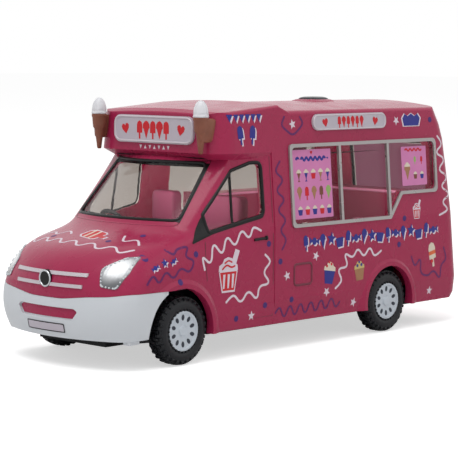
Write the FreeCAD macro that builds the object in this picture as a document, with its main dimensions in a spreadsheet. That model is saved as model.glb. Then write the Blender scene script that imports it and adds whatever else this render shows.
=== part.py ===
import FreeCAD, Part
import math
import os

# Small die-cast model of an ice cream van, 1:76, in millimetres.
# +X forward, +Y to the van's left, +Z up.  The origin is on the ground,
# under the middle of the whole model.

VECTOR = FreeCAD.Vector

# alias, value, meaning.  Lengths in mm, angles in degrees.
DIMENSIONS = (
    ("front_overhang", "13.3", "nose to front axle"),
    ("wheelbase", "42.7", "axle to axle"),
    ("rear_overhang", "17.9", "rear axle to tail"),
    ("belt_half_width", "12.95", "half width from skirt to belt line"),
    ("sill_half_width", "12.6", "half width at the lower edge"),
    ("eaves_half_width", "11.65", "half width under the roof edge"),
    ("sill_height", "3.75", "lower edge of the shell"),
    ("skirt_height", "7.0", "crease along the lower side"),
    ("belt_height", "17.0", "where the sides start to lean in"),
    ("cowl_height", "18.3", "foot of the windscreen"),
    ("cab_top_height", "27.2", "lower edge of the roof pod"),
    ("eaves_height", "33.1", "side edge of the box roof"),
    ("roof_crown", "0.9", "rise of the roof at its middle"),
    ("roof_edge_radius", "0.8", "rounding of the side roof edge"),
    ("pod_rise", "0.8", "rear of the pod above the box roof"),
    ("pod_front_back", "20.0", "nose to the front face of the pod"),
    ("pod_length", "14.8", "front face to the rear slope's foot"),
    ("pod_overhang", "0.1", "pod side proud of the box side"),
    ("seam_back", "30.6", "nose to the joint of cab and box"),
    ("cab_step", "0.07", "box side proud of the cab side"),
    ("cab_foot_half_width", "12.0", "half width of the cab at the foot of the windscreen"),
    ("cab_top_half_width", "11.05", "half width of the cab behind the windscreen's top"),
    ("shell_wall", "0.9", "thickness of the casting"),
    ("tyre_radius", "4.6", "outside radius of a tyre"),
    ("tyre_width", "3.1", "width of a tyre"),
    ("hub_radius", "2.65", "outside radius of a hub, seat of the tyre"),
    ("wheel_face", "12.7", "outer face of a wheel from the middle"),
    ("axle_radius", "0.5", "radius of an axle rod"),
    ("axle_play", "0.05", "running gap round an axle"),
    ("front_arch_gap", "1.15", "space between a front tyre and its arch"),
    ("rear_arch_gap", "0.7", "space between a rear tyre and its arch"),
    ("front_arch_radius", "=tyre_radius + front_arch_gap", "radius of the front wheel arch"),
    ("front_arch_shift", "0.8", "front arch centre ahead of the axle"),
    ("rear_arch_radius", "=tyre_radius + rear_arch_gap", "radius of the rear wheel arch"),
    ("flare_width", "1.5", "band round an arch that stands proud"),
    ("flare_depth", "0.2", "how far the band stands proud"),
    ("bumper_top", "9.15", "upper edge of the front bumper at its middle"),
    ("bumper_rise", "1.05", "how much higher the bumper's upper edge is at the sides"),
    ("bumper_bottom", "4.0", "lower edge of the front bumper"),
    ("bumper_wall", "0.8", "thickness of the front bumper"),
    ("base_bottom", "3.5", "underside of the base plate"),
    ("base_thickness", "1.2", "thickness of the base plate"),
    ("base_gap", "0.12", "gap between base plate and shell"),
    ("wheel_gap", "0.7", "space round a tyre in the base plate"),
    ("tyre_headroom", "0.8", "space between a tyre and the floor above it"),
    ("floor_bottom", "=2 * tyre_radius + tyre_headroom", "underside of the cab and servery floors"),
    ("floor_thickness", "0.8", "thickness of the floors"),
    ("counter_height", "9.5", "servery counter top above the floor"),
    ("machine_height", "5.0", "height of the ice cream machine on the counter"),
    ("glass_recess", "0.15", "glass set back from the shell's face"),
    ("glass_thickness", "0.5", "thickness of the glazing"),
    ("glass_gap", "0.04", "gap between a pane's edge and its opening"),
    ("window_top", "27.95", "top of the servery opening"),
    ("window_bottom", "17.35", "bottom of the servery opening"),
    ("window_step", "20.8", "bottom of the servery's rear pane"),
    ("window_front_back", "34.55", "nose to the servery opening"),
    ("window_length", "32.4", "length of the servery opening"),
    ("window_low_length", "21.05", "length of the servery opening's foot"),
    ("frame_width", "0.5", "width of the raised window frame"),
    ("frame_depth", "0.28", "how far the window frame stands proud"),
    ("sign_length", "15.5", "length of the front sign board"),
    ("sign_height", "3.8", "height of the front sign board"),
    ("sign_thickness", "0.3", "how far a sign board stands proud"),
    ("side_sign_length", "16.4", "length of a side sign board"),
    ("side_sign_height", "2.3", "height of a side sign board"),
    ("cone_height", "4.9", "height of a wafer cone"),
    ("cone_radius", "0.98", "rim radius of a wafer cone"),
    ("cone_spacing", "19.9", "distance between the two cones"),
    ("ice_height", "2.3", "height of the ice cream on a cone"),
    ("vent_length", "5.6", "length of the roof hatch"),
    ("vent_width", "4.7", "width of the roof hatch"),
    ("vent_height", "0.65", "height of the roof hatch above the roof"),
    ("screw_radius", "0.6", "radius of a base screw's shank"),
    ("screw_head_radius", "1.15", "radius of a base screw's head"),
    ("plinth_hole_radius", "1.0", "radius of the hole for a display screw"),
    ("plinth_hole_depth", "3.5", "depth of the hole for a display screw"),
)

document = FreeCAD.newDocument("ice_cream_van")
sheet = document.addObject("Spreadsheet::Sheet", "dimensions")
for row, (alias, value, meaning) in enumerate(DIMENSIONS, start=1):
    sheet.set("A%d" % row, alias)
    sheet.set("B%d" % row, value)
    sheet.setAlias("B%d" % row, alias)
    sheet.set("C%d" % row, meaning)
document.recompute()


def size(alias):
    """The number that the sheet holds under this alias."""
    return float(getattr(sheet, alias))


def cell(alias):
    """The alias as an expression writes it."""
    return "dimensions." + alias


# Places that follow from the driving dimensions.
LENGTH = size("front_overhang") + size("wheelbase") + size("rear_overhang")
NOSE_X = LENGTH / 2
TAIL_X = -LENGTH / 2
FRONT_AXLE_X = NOSE_X - size("front_overhang")
REAR_AXLE_X = FRONT_AXLE_X - size("wheelbase")
SEAM_X = NOSE_X - size("seam_back")
POD_FRONT_X = NOSE_X - size("pod_front_back")
POD_REAR_X = POD_FRONT_X - size("pod_length")
BASE_TOP = size("base_bottom") + size("base_thickness")
FLOOR_TOP = size("floor_bottom") + size("floor_thickness")
WALL = size("shell_wall")
SIDES = (("left", 1), ("right", -1))
AXLES = (("front", FRONT_AXLE_X), ("rear", REAR_AXLE_X))

nodes = []


def keep(shape_object, label):
    """Names a finished sub-part after its file."""
    shape_object.Label = label
    nodes.append(shape_object)
    return shape_object


def feature(name, shape):
    """A sub-part's blank whose shape comes from Part's own functions."""
    blank = document.addObject("Part::Feature", name)
    blank.Shape = shape
    return blank


def box(name, low, high):
    """A block between two corners."""
    block = document.addObject("Part::Box", name)
    block.Length, block.Width, block.Height = [high[i] - low[i] for i in range(3)]
    block.Placement.Base = VECTOR(*low)
    return block


def cylinder(name, radius, length, start, axis):
    """A rod from start along axis; radius is an expression."""
    rod = document.addObject("Part::Cylinder", name)
    rod.setExpression("Radius", radius)
    rod.Height = length
    turn = FreeCAD.Rotation(VECTOR(0, 0, 1), VECTOR(*axis))
    rod.Placement = FreeCAD.Placement(VECTOR(*start), turn)
    return rod


def cut(name, base, tool):
    """base with tool taken away."""
    result = document.addObject("Part::Cut", name)
    result.Base, result.Tool = base, tool
    return result


def fuse(name, shapes):
    """One solid made of several that overlap or share a face."""
    result = document.addObject("Part::MultiFuse", name)
    result.Shapes = shapes
    result.Refine = True
    return result


def group(name, shapes):
    """Several solids side by side in one object."""
    result = document.addObject("Part::Compound", name)
    result.Links = shapes
    return result


def common(name, shapes):
    """What several solids share."""
    result = document.addObject("Part::MultiCommon", name)
    result.Shapes = shapes
    return result


def extrusion(name, face, direction, length):
    """A face drawn out along a direction; length is an expression or a number."""
    result = document.addObject("Part::Extrusion", name)
    result.Base = face
    result.DirMode = "Custom"
    result.Dir = VECTOR(*direction)
    result.Solid = True
    if isinstance(length, str):
        result.setExpression("LengthFwd", length)
    else:
        result.LengthFwd = length
    return result


def rounded_wire(corners, place):
    """A closed wire of straight edges and corner arcs.

    corners are (u, v, radius) in order; place(u, v) gives the point in space.
    """
    points = []
    count = len(corners)
    for index, (u, v, radius) in enumerate(corners):
        here = VECTOR(u, v, 0)
        before = VECTOR(*corners[index - 1][:2], 0) - here
        after = VECTOR(*corners[(index + 1) % count][:2], 0) - here
        if radius == 0:
            points.append((here, here, here))
            continue
        half = before.getAngle(after) / 2
        before.normalize()
        after.normalize()
        inward = before + after
        inward.normalize()
        reach = radius / math.tan(half)
        middle = here + inward * (radius / math.sin(half) - radius)
        points.append((here + before * reach, middle, here + after * reach))
    edges = []
    for index, (start, middle, end) in enumerate(points):
        if start != end:
            arc = Part.Arc(place(start.x, start.y), place(middle.x, middle.y), place(end.x, end.y))
            edges.append(arc.toShape())
        following = points[(index + 1) % count][0]
        edges.append(Part.makeLine(place(end.x, end.y), place(following.x, following.y)))
    return Part.Wire(edges)


# ---------------------------------------------------------------------------
# Side surface: upright to the belt line, then leaning in to the eaves.
# ---------------------------------------------------------------------------
LEAN = ((size("belt_half_width") - size("eaves_half_width"))
        / (size("eaves_height") - size("belt_height")))


def side_y(height):
    """Half width of the box at a height."""
    if height <= size("skirt_height"):
        rise = (height - size("sill_height")) / (size("skirt_height") - size("sill_height"))
        return size("sill_half_width") + rise * (size("belt_half_width") - size("sill_half_width"))
    return size("belt_half_width") - LEAN * max(0.0, height - size("belt_height"))


def side_point(x, height, proud, side):
    """A point on the leaning side, or proud of it along its normal."""
    tilt = math.atan(LEAN)
    y = size("belt_half_width") - LEAN * (height - size("belt_height")) + proud * math.cos(tilt)
    return VECTOR(x, side * y, height + proud * math.sin(tilt))


def side_plate(name, corners, proud, thickness, side):
    """A flat plate that lies on the leaning side; proud is its outer face."""
    wire = rounded_wire(corners, lambda u, v: side_point(u, v, proud, side))
    face = feature(name + "_outline", Part.Face(wire))
    tilt = math.atan(LEAN)
    inward = (0, -side * math.cos(tilt), -math.sin(tilt))
    return extrusion(name, face, inward, thickness)


# ---------------------------------------------------------------------------
# Plan outlines of the cab, one above the other.
# ---------------------------------------------------------------------------
def cab_outline(height, nose, sag, shoulder_y, side_start, half_width, inset, back, back_half_width):
    """A plan outline: bowed front, drawn-round corners, sides that widen to the back."""
    nose -= inset
    half_width -= inset
    back_half = back_half_width - inset
    side_start -= inset
    shoulder_y -= inset * shoulder_y / half_width
    shoulder_x = nose - sag
    # The corner curve's middle pole is where the side and the bow's tangent meet.
    bow = math.tan(2 * math.atan(sag / shoulder_y))
    taper = (back_half - half_width) / (side_start - back)
    bow_reach = shoulder_x + shoulder_y * bow - side_start
    corner_y = (half_width - taper * bow_reach) / (1 - taper * bow)
    corner_x = shoulder_x - (corner_y - shoulder_y) * bow
    if corner_x < side_start:
        corner_x, corner_y = side_start, half_width

    def point(x, y):
        return VECTOR(x, y, height)

    edges = [Part.makeLine(point(back, -back_half), point(side_start, -half_width))]
    for side, order in ((-1, 1), (1, -1)):
        curve = Part.BezierCurve()
        poles = [point(side_start, side * half_width), point(corner_x, side * corner_y),
                 point(shoulder_x, side * shoulder_y)]
        curve.setPoles(poles[::order])
        edges.append(curve.toShape())
    edges.insert(2, Part.Arc(point(shoulder_x, -shoulder_y), point(nose, 0),
                             point(shoulder_x, shoulder_y)).toShape())
    edges.append(Part.makeLine(point(side_start, half_width), point(back, back_half)))
    edges.append(Part.makeLine(point(back, back_half), point(back, -back_half)))
    return Part.Wire(edges)


# height, nose behind the foremost point, sag, shoulder_y, side start behind
# the foremost point, half width there; the sides widen from there to the box
BELT = size("belt_half_width")
CAB_SIDE = BELT - size("cab_step")
CAB_SECTIONS = (
    (size("sill_height"), 1.0, 1.5, 9.1, 6.8, size("sill_half_width") - size("cab_step")),
    (size("skirt_height"), 0.6, 1.5, 9.1, 6.6, CAB_SIDE),
    (11.3, 0.3, 1.6, 8.9, 7.4, CAB_SIDE),
    (13.0, 0.85, 1.85, 8.6, 9.2, CAB_SIDE),
    (14.5, 2.2, 1.95, 8.5, 11.4, CAB_SIDE - 0.2),
    (16.2, 6.2, 2.0, 8.4, 15.6, CAB_SIDE - 0.4),
    (size("cowl_height"), 12.3, 2.35, 9.95, 18.0, size("cab_foot_half_width")),
)
CAB_TOP_SECTION = (size("cab_top_height"), 20.8, 1.7, 8.7, 23.4, size("cab_top_half_width"))
CAB_LAP = 0.5  # how far the cab's solid runs on behind the joint


def cab_solid(name, inset):
    """The cab's outside, or the space inside it when inset by the wall."""
    stack = []
    for height, nose_back, sag, shoulder_y, side_back, half_width in CAB_SECTIONS + (CAB_TOP_SECTION,):
        drop = inset if not stack else 0.0
        rise = inset / 2 if height == CAB_TOP_SECTION[0] else 0.0
        stack.append(cab_outline(height - drop + rise, NOSE_X - nose_back, sag, shoulder_y,
                                 NOSE_X - side_back, half_width, inset, SEAM_X - CAB_LAP,
                                 side_y(height) - size("cab_step")))
    lower = feature(name + "_bonnet", Part.makeLoft(stack[:-1], True, False))
    upper = feature(name + "_windows", Part.makeLoft(stack[-2:], True, True))
    return fuse(name, [lower, upper])


# ---------------------------------------------------------------------------
# Box behind the cab, and the sign pod over the cab.
# ---------------------------------------------------------------------------
def corner_outline(height, front, back, half_width, front_radius, back_radius, taper=0.0):
    """A plan rectangle with its own corner radius at each end; taper narrows the back."""
    back_half = half_width - taper
    corners = ((back, -back_half, back_radius), (front, -half_width, front_radius),
               (front, half_width, front_radius), (back, back_half, back_radius))
    return rounded_wire(corners, lambda u, v: VECTOR(u, v, height))


def roof_section(x, edge_height, half_width, crown):
    """Everything under a crowned roof, cut across the van."""
    radius = size("roof_edge_radius")
    wide = BELT + 2.0
    low = 0.0
    start = edge_height - radius
    slant = math.sqrt(0.5)

    def point(y, z):
        return VECTOR(x, y, z)

    edges = [Part.makeLine(point(-wide, low), point(wide, low)),
             Part.makeLine(point(wide, low), point(wide, start)),
             Part.makeLine(point(wide, start), point(half_width, start)),
             Part.Arc(point(half_width, start),
                      point(half_width - radius + radius * slant, start + radius * slant),
                      point(half_width - radius, edge_height)).toShape(),
             Part.Arc(point(half_width - radius, edge_height), point(0, edge_height + crown),
                      point(radius - half_width, edge_height)).toShape(),
             Part.Arc(point(radius - half_width, edge_height),
                      point(radius - half_width - radius * slant, start + radius * slant),
                      point(-half_width, start)).toShape(),
             Part.makeLine(point(-half_width, start), point(-wide, start)),
             Part.makeLine(point(-wide, start), point(-wide, low))]
    return Part.Wire(edges)


# height, how far the tail has come in from the rearmost point, corner radius
EAVES = size("eaves_height")
TAIL_SECTIONS = (
    (size("sill_height"), 1.2, 2.0),
    (4.6, 0.15, 2.6),
    (size("skirt_height"), 0.0, 2.8),
    (size("belt_height"), 1.25, 2.8),
    (EAVES - 10.1, 1.95, 2.7),
    (EAVES - 4.8, 2.75, 2.5),
    (EAVES - 2.6, 3.6, 2.3),
    (EAVES - 0.1, 5.1, 2.1),
    (EAVES + 1.9, 6.6, 2.0),
)


def box_solid(name, inset):
    """The box's outside, or the space inside it when inset by the wall."""
    front = SEAM_X + (0.6 if inset else 0.0)
    stack = []
    for height, tail_in, radius in TAIL_SECTIONS:
        if not stack:
            height -= inset
        half_width = side_y(max(height, size("sill_height")))
        stack.append(corner_outline(height, front, TAIL_X + tail_in + inset,
                                    half_width - inset, 0, radius - inset / 2))
    block = feature(name + "_sides", Part.makeLoft(stack, True, True))
    edge = EAVES - inset
    half_width = side_y(edge - size("roof_edge_radius")) - inset + 0.02
    roof = Part.makeLoft([roof_section(SEAM_X + 1, edge, half_width, size("roof_crown")),
                          roof_section(TAIL_X - 1, edge, half_width, size("roof_crown"))], True, True)
    return common(name, [block, feature(name + "_roof", roof)])


# height, how far back the pod's face is, how far its side stands proud, corner radius
POD_SECTIONS = (
    (size("cab_top_height") - 0.6, 1.4, -1.1, 3.0),
    (size("cab_top_height") + 0.3, 0.0, size("pod_overhang"), 3.2),
    (EAVES + 2.4, 0.25, size("pod_overhang"), 3.4),
)


def pod_solid(name, inset):
    """The pod's outside, or the space inside it when inset by the wall."""
    stack = []
    for height, face_back, proud, radius in POD_SECTIONS:
        half_width = side_y(height) + proud - inset
        stack.append(corner_outline(height + inset, POD_FRONT_X - face_back - inset,
                                    POD_REAR_X - 1.0, half_width, radius, 0, proud + 0.05))
    block = feature(name + "_sides", Part.makeLoft(stack, True, True))
    high = EAVES + size("pod_rise") - inset
    low = EAVES - inset
    # x, height of the side edge, crown: a rounded brow, a rising top, a slope down to the box
    rows = ((POD_FRONT_X + 0.3, low - 1.1, 0.3), (POD_FRONT_X - 0.3, low - 0.45, 0.35),
            (POD_FRONT_X - 1.2, low - 0.1, 0.4), (POD_REAR_X + 2.2, high, 0.4),
            (POD_REAR_X, low - 0.1, 0.95), (POD_REAR_X - 4, low - 1.2, 0.95))
    sections = []
    for x, edge, crown in rows:
        half_width = side_y(edge - size("roof_edge_radius")) + size("pod_overhang") - inset
        sections.append(roof_section(x, edge, half_width + 0.02, crown))
    roof = feature(name + "_roof", Part.makeLoft(sections, True, True))
    return common(name, [block, roof])


def hull(name, inset):
    """Cab, box and pod in one solid: the pod joins the box, and the cab joins both."""
    coach = fuse(name + "_coach", [box_solid(name + "_box", inset), pod_solid(name + "_pod", inset)])
    return fuse(name, [cab_solid(name + "_cab", inset), coach])


# ---------------------------------------------------------------------------
# Body shell: a hollow casting, open underneath, with its windows cut.
# ---------------------------------------------------------------------------
ARCHES = (
    ("front", FRONT_AXLE_X + size("front_arch_shift"), "front_arch_radius"),
    ("rear", REAR_AXLE_X, "rear_arch_radius"),
)
# Side window outlines: x behind the nose, height, corner radius.
DOOR_WINDOW = ((18.2, 17.35, 0.3), (28.55, 19.0, 1.0), (28.55, 26.1, 0.9), (26.7, 26.05, 1.5),
               (23.3, 25.1, 0.6), (17.7, 19.5, 0.4))
WINDOW_FRONT_X = NOSE_X - size("window_front_back")
WINDOW_BACK_X = WINDOW_FRONT_X - size("window_length")
WINDOW_FOOT_X = WINDOW_FRONT_X - size("window_low_length")
STEP_RUN = 2.9


def door_window(grow):
    """Outline of a door window; grow widens it all round."""
    middle_x, middle_z = 24.0, 22.0
    corners = []
    for back, height, radius in DOOR_WINDOW:
        away = VECTOR(middle_x - back, height - middle_z, 0)
        away.normalize()
        corners.append((NOSE_X - back + grow * away.x * 1.3, height + grow * away.y * 1.3,
                        radius + grow / 2))
    return corners


def servery_window(grow):
    """Outline of a servery window with its stepped rear pane."""
    top, bottom = size("window_top") + grow, size("window_bottom") - grow
    step = size("window_step") - grow
    return ((WINDOW_FRONT_X + grow, bottom, 0.6), (WINDOW_FRONT_X + grow, top, 0.6),
            (WINDOW_BACK_X - grow, top, 0.8), (WINDOW_BACK_X - grow, step, 0.8),
            (WINDOW_FOOT_X - STEP_RUN - grow * 0.6, step, 0.4),
            (WINDOW_FOOT_X - grow * 0.6, bottom, 0.4))


def windscreen_window(grow):
    """Outline of the windscreen, seen from the front."""
    low, high = size("cowl_height") + 0.55 - grow, size("cab_top_height") - 1.15 + grow
    low_y, high_y = 9.7 + grow, 8.6 + grow
    return ((-low_y, low, 0.7), (low_y, low, 0.7), (high_y, high, 0.9), (-high_y, high, 0.9))


def rear_window(grow):
    """Outline of the rear window, seen from behind."""
    half, low, high = 7.4 + grow, 19.4 - grow, 27.6 + grow
    return ((-half, low, 0.9), (half, low, 0.9), (half, high, 0.9), (-half, high, 0.9))


def side_prism(name, corners, side):
    """A window outline drawn straight through one side wall."""
    start = side * 8.5
    wire = rounded_wire(corners, lambda u, v: VECTOR(u, start, v))
    return extrusion(name, feature(name + "_outline", Part.Face(wire)), (0, side, 0), 6.0)


def end_prism(name, corners, start, length):
    """A window outline drawn straight through an end wall, along X."""
    wire = rounded_wire(corners, lambda u, v: VECTOR(start, u, v))
    face = feature(name + "_outline", Part.Face(wire))
    return extrusion(name, face, (math.copysign(1, length), 0, 0), abs(length))


def window_prisms(name, grow):
    """The six openings as solids, in a table of node name and solid."""
    prisms = [("windscreen", end_prism(name + "_windscreen", windscreen_window(grow),
                                       POD_FRONT_X - 6.5, 14.0)),
              ("rear_window", end_prism(name + "_rear", rear_window(grow), TAIL_X + 8.0, -8.5))]
    for side_name, side in SIDES:
        prisms.append(("door_glass_" + side_name,
                       side_prism(name + "_door_" + side_name, door_window(grow), side)))
        prisms.append(("servery_glass_" + side_name,
                       side_prism(name + "_servery_" + side_name, servery_window(grow), side)))
    return prisms


def arch_cutter(name, x, radius_alias, side):
    """The round opening that a wheel stands in."""
    return cylinder(name, cell(radius_alias), 5.0, (x, side * (BELT - 3.6), size("tyre_radius")),
                    (0, side, 0))


def flare(name, x, radius_alias, side):
    """The band round an arch, tapered to the side, above the sill."""
    cone = document.addObject("Part::Cone", name + "_cone")
    cone.setExpression("Radius1", "%s + %s + 0.8" % (cell(radius_alias), cell("flare_width")))
    cone.setExpression("Radius2", "%s + 0.6" % cell(radius_alias))
    cone.setExpression("Height", "%s + 0.6" % cell("flare_depth"))
    turn = FreeCAD.Rotation(VECTOR(0, 0, 1), VECTOR(0, side, 0))
    cone.Placement = FreeCAD.Placement(VECTOR(x, side * (BELT - 0.6), size("tyre_radius")), turn)
    keep_high = box(name + "_above_sill", (x - 12, -20, size("sill_height")), (x + 12, 20, 16))
    return common(name, [cone, keep_high])


FRONT_BOSS_X = FRONT_AXLE_X + 5.6
REAR_BOSS_X = TAIL_X + 5.6


def make_shell():
    flares = []
    cutters = []
    for end_name, x, radius_alias in ARCHES:
        for side_name, side in SIDES:
            label = "%s_%s" % (end_name, side_name)
            flares.append(flare("flare_" + label, x, radius_alias, side))
            cutters.append(arch_cutter("arch_" + label, x, radius_alias, side))
    cutters += [prism for node, prism in window_prisms("opening", 0.0)]
    cutters.append(below_bumper_line("bumper_seat", 0.0))
    outside = fuse("outside_with_flares", [hull("outside", 0.0)] + flares)
    no_cab = cut("hollow_cab", outside, cab_solid("inside_cab", WALL))
    no_box = cut("hollow_box", no_cab, box_solid("inside_box", WALL))
    hollow = cut("hollow", no_box, pod_solid("inside_pod", WALL))
    opened = cut("opened", hollow, fuse("cutters", cutters))
    front_post = common("front_post", [
        cylinder("front_post_rod", "1.9", 14.0, (FRONT_BOSS_X, 0, BASE_TOP), (0, 0, 1)),
        cab_solid("front_post_limit", WALL / 2)])
    rear_post = common("rear_post", [
        box("rear_post_block", (TAIL_X - 1, -2.2, BASE_TOP),
            (REAR_BOSS_X + 2.2, 2.2, size("floor_bottom"))),
        box_solid("rear_post_limit", WALL / 2)])
    posts = fuse("shell_with_posts", [opened, front_post, rear_post])
    holes = fuse("post_holes", [
        cylinder("post_hole_front", cell("screw_radius"), 3.2, (FRONT_BOSS_X, 0, BASE_TOP - 0.1), (0, 0, 1)),
        cylinder("post_hole_rear", cell("screw_radius"), 3.2, (REAR_BOSS_X, 0, BASE_TOP - 0.1), (0, 0, 1))])
    tools = fuse("shell_last_cuts", [holes, lamp_pockets])
    keep(cut("shell", posts, tools), "body_shell")


def make_glazing():
    """Panes cut from a thin layer just inside the shell's face."""
    near, far = size("glass_recess"), size("glass_recess") + size("glass_thickness")
    cab_layer = cut("cab_glass_layer", cab_solid("cab_glass_out", near), cab_solid("cab_glass_in", far))
    box_layer = cut("box_glass_layer", box_solid("box_glass_out", near), box_solid("box_glass_in", far))
    for node, prism in window_prisms("pane", -size("glass_gap")):
        in_cab = node == "windscreen" or node.startswith("door")
        keep(common("glass_" + node, [cab_layer if in_cab else box_layer, prism]), node)


# ---------------------------------------------------------------------------
# Front bumper, headlights, grille bars and badge.
# ---------------------------------------------------------------------------
# height, nose behind the foremost point, sag, shoulder_y, side start, half width
BUMPER_SECTIONS = (
    (size("bumper_bottom"), 0.6, 1.7, 9.0, 7.4, BELT - 0.35),
    (5.4, 0.15, 1.6, 9.1, 6.9, BELT - 0.05),
    (7.2, 0.0, 1.45, 9.2, 6.4, BELT + 0.1),
    (size("bumper_top"), 0.2, 1.4, 9.2, 6.1, BELT + 0.05),
    (size("bumper_top") + size("bumper_rise") + 0.2, 0.3, 1.45, 9.1, 6.5, BELT + 0.03),
)
# The bumper's upper edge seen from the front: distance from the middle, share of the rise, radius.
BUMPER_LINE = ((20.0, 1.0, 0), (12.2, 1.0, 2.0), (10.0, 0.7, 6.0), (7.0, 0.5, 8.0), (3.0, 0.05, 12.0))
SLOT = ((-5.8, 7.65, 0.2), (-4.9, 6.55, 0.3), (4.9, 6.55, 0.3), (5.8, 7.65, 0.2),
        (5.1, 8.05, 0.2), (-5.1, 8.05, 0.2))


def below_bumper_line(name, gap):
    """All that is ahead of the front arch and below the bumper's upper edge, less a gap."""
    top, rise = size("bumper_top") - gap, size("bumper_rise")
    left = [(y, top + share * rise, radius) for y, share, radius in BUMPER_LINE]
    right = [(-y, height, radius) for y, height, radius in reversed(left)]
    start = ARCHES[0][1]
    wire = rounded_wire([(-20.0, 0, 0), (20.0, 0, 0)] + left + right, lambda u, v: VECTOR(start, u, v))
    return extrusion(name, feature(name + "_outline", Part.Face(wire)), (1, 0, 0), NOSE_X + 1 - start)


def bumper_block(name, inset):
    """The bumper's outer form; inset draws it in by the wall."""
    stack = []
    for height, nose_back, sag, shoulder_y, side_back, half_width in BUMPER_SECTIONS:
        height += math.copysign(inset, height - 6)
        stack.append(cab_outline(height, NOSE_X - nose_back, sag, shoulder_y,
                                 NOSE_X - side_back, half_width, inset, FRONT_AXLE_X - 4, half_width))
    return feature(name, Part.makeLoft(stack, True, False))


def make_bumper():
    wall = size("bumper_wall")
    outer = bumper_block("bumper_outer", 0.0)
    tools = [bumper_block("bumper_inner", wall)]
    end_name, arch_x, radius_alias = ARCHES[0]
    opening = cylinder("bumper_arch", cell(radius_alias), 40.0, (arch_x, -20, size("tyre_radius")), (0, 1, 0))
    foot = ((NOSE_X - 3.5, 0, 0), (NOSE_X - 3.5, size("bumper_bottom"), 0),
            (arch_x, size("bumper_bottom") + 0.6, 0), (arch_x, 0, 0))
    wire = rounded_wire(foot, lambda u, v: VECTOR(u, -20, v))
    tools.append(extrusion("bumper_foot", feature("bumper_foot_outline", Part.Face(wire)), (0, 1, 0), 40.0))
    behind = box("bumper_behind", (FRONT_AXLE_X - 6, -20, 0), (arch_x + 2.5, 20, 12))
    slot = cut("bumper_slot", end_prism("bumper_slot_way", SLOT, NOSE_X - 3.0, 5.0),
               bumper_block("bumper_slot_floor", 0.35))
    tools += [opening, behind, slot]
    lugs = []
    for side_name, side in SIDES:
        low_y = min(side * 10.6, side * 11.7)
        x = NOSE_X - 6.0
        lugs.append(box("bumper_lug_" + side_name, (x, low_y, size("bumper_bottom") - 0.45),
                        (x + 1.8, low_y + 1.1, size("bumper_bottom") + 0.6)))
    below = common("bumper_below_line", [outer, below_bumper_line("bumper_line", 0.03)])
    wall_shape = cut("bumper_wall_shape", below, fuse("bumper_tools", tools))
    keep(fuse("bumper", [wall_shape] + lugs), "front_bumper")


# Headlight outline seen from the front: distance from the middle, height, corner radius.
HEADLIGHT = ((8.85, 11.1, 0.35), (10.95, 10.8, 0.4), (11.4, 12.8, 0.6), (11.25, 14.85, 0.3),
             (10.1, 14.75, 0.6), (8.1, 13.4, 0.6))


def make_headlights():
    """Lamps let into the corners of the nose, cut from the cab's own skin."""
    depth = 0.35
    skin = cut("lamp_skin", cab_solid("lamp_outer", -0.06), cab_solid("lamp_inner", depth))
    prisms = []
    for side_name, side in SIDES:
        corners = [(side * y, height, radius) for y, height, radius in HEADLIGHT]
        prism = end_prism("lamp_prism_" + side_name, corners, FRONT_AXLE_X + 5.0, 10.0)
        keep(common("lamp_" + side_name, [skin, prism]), "headlight_" + side_name)
        prisms.append(prism)
    return cut("lamp_pockets", fuse("lamp_pocket_prisms", prisms), cab_solid("lamp_back", depth + 0.02))


GRILLE_BARS = ((12.45, 6.8), (10.95, 6.3))  # height, half length
BAR_HEIGHT = 0.45
BADGE_HEIGHT = 11.6
BADGE_RADIUS = 1.15


def make_grille():
    """Two bright bars that follow the nose, and a plain round badge."""
    skin = cut("bar_skin", cab_solid("bar_outer", -0.16), cab_solid("bar_inner", 0.0))
    strips = [box("bar_strip_%d" % number, (FRONT_AXLE_X + 8, -half, height - BAR_HEIGHT / 2),
                  (NOSE_X + 1, half, height + BAR_HEIGHT / 2))
              for number, (height, half) in enumerate(GRILLE_BARS, start=1)]
    bars = common("bars", [skin, group("bar_strips", strips)])
    seat = cylinder("badge_seat", str(BADGE_RADIUS + 0.03), 6.0, (NOSE_X - 4, 0, BADGE_HEIGHT), (1, 0, 0))
    keep(cut("bars_cut", bars, seat), "grille_bars")
    disc = cylinder("badge_disc", str(BADGE_RADIUS), 1.55, (NOSE_X - 1.7, 0, BADGE_HEIGHT), (1, 0, 0))
    keep(cut("badge", disc, cab_solid("badge_back", 0.0)), "nose_badge")


# ---------------------------------------------------------------------------
# Raised window frames, sign boards, cones and roof hatch.
# ---------------------------------------------------------------------------
def make_frames():
    width = size("frame_width")
    depth = size("frame_depth")
    for side_name, side in SIDES:
        name = "frame_" + side_name
        outer = side_plate(name + "_outer", servery_window(width), depth, depth, side)
        inner = side_plate(name + "_inner", servery_window(0.0), depth + 1, depth + 2, side)
        ring = cut(name + "_ring", outer, inner)
        within = side_plate(name + "_within", servery_window(-size("glass_gap")), depth + 1, depth + 2, side)
        bars = []
        for number, x in enumerate((WINDOW_FRONT_X - 10.3, WINDOW_FOOT_X - 0.2), start=1):
            label = "%s_bar_%d" % (name, number)
            foot, head = size("window_bottom") - width / 2, size("window_top") + width / 2
            corners = ((x - width / 2, foot, 0), (x + width / 2, foot, 0),
                       (x + width / 2, head, 0), (x - width / 2, head, 0))
            bars.append(side_plate(label, corners, depth, depth, side))
            rib = side_plate(label + "_rib", corners, depth, depth + size("glass_recess") - 0.02, side)
            bars.append(common(label + "_rib_within", [rib, within]))
        keep(fuse(name + "_all", [ring] + bars), "servery_frame_" + side_name)


FRONT_SIGN_HEIGHT = EAVES - 2.6
SIDE_SIGN_HEIGHT = EAVES - 1.75
SIDE_SIGN_BACK = 47.5


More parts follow.
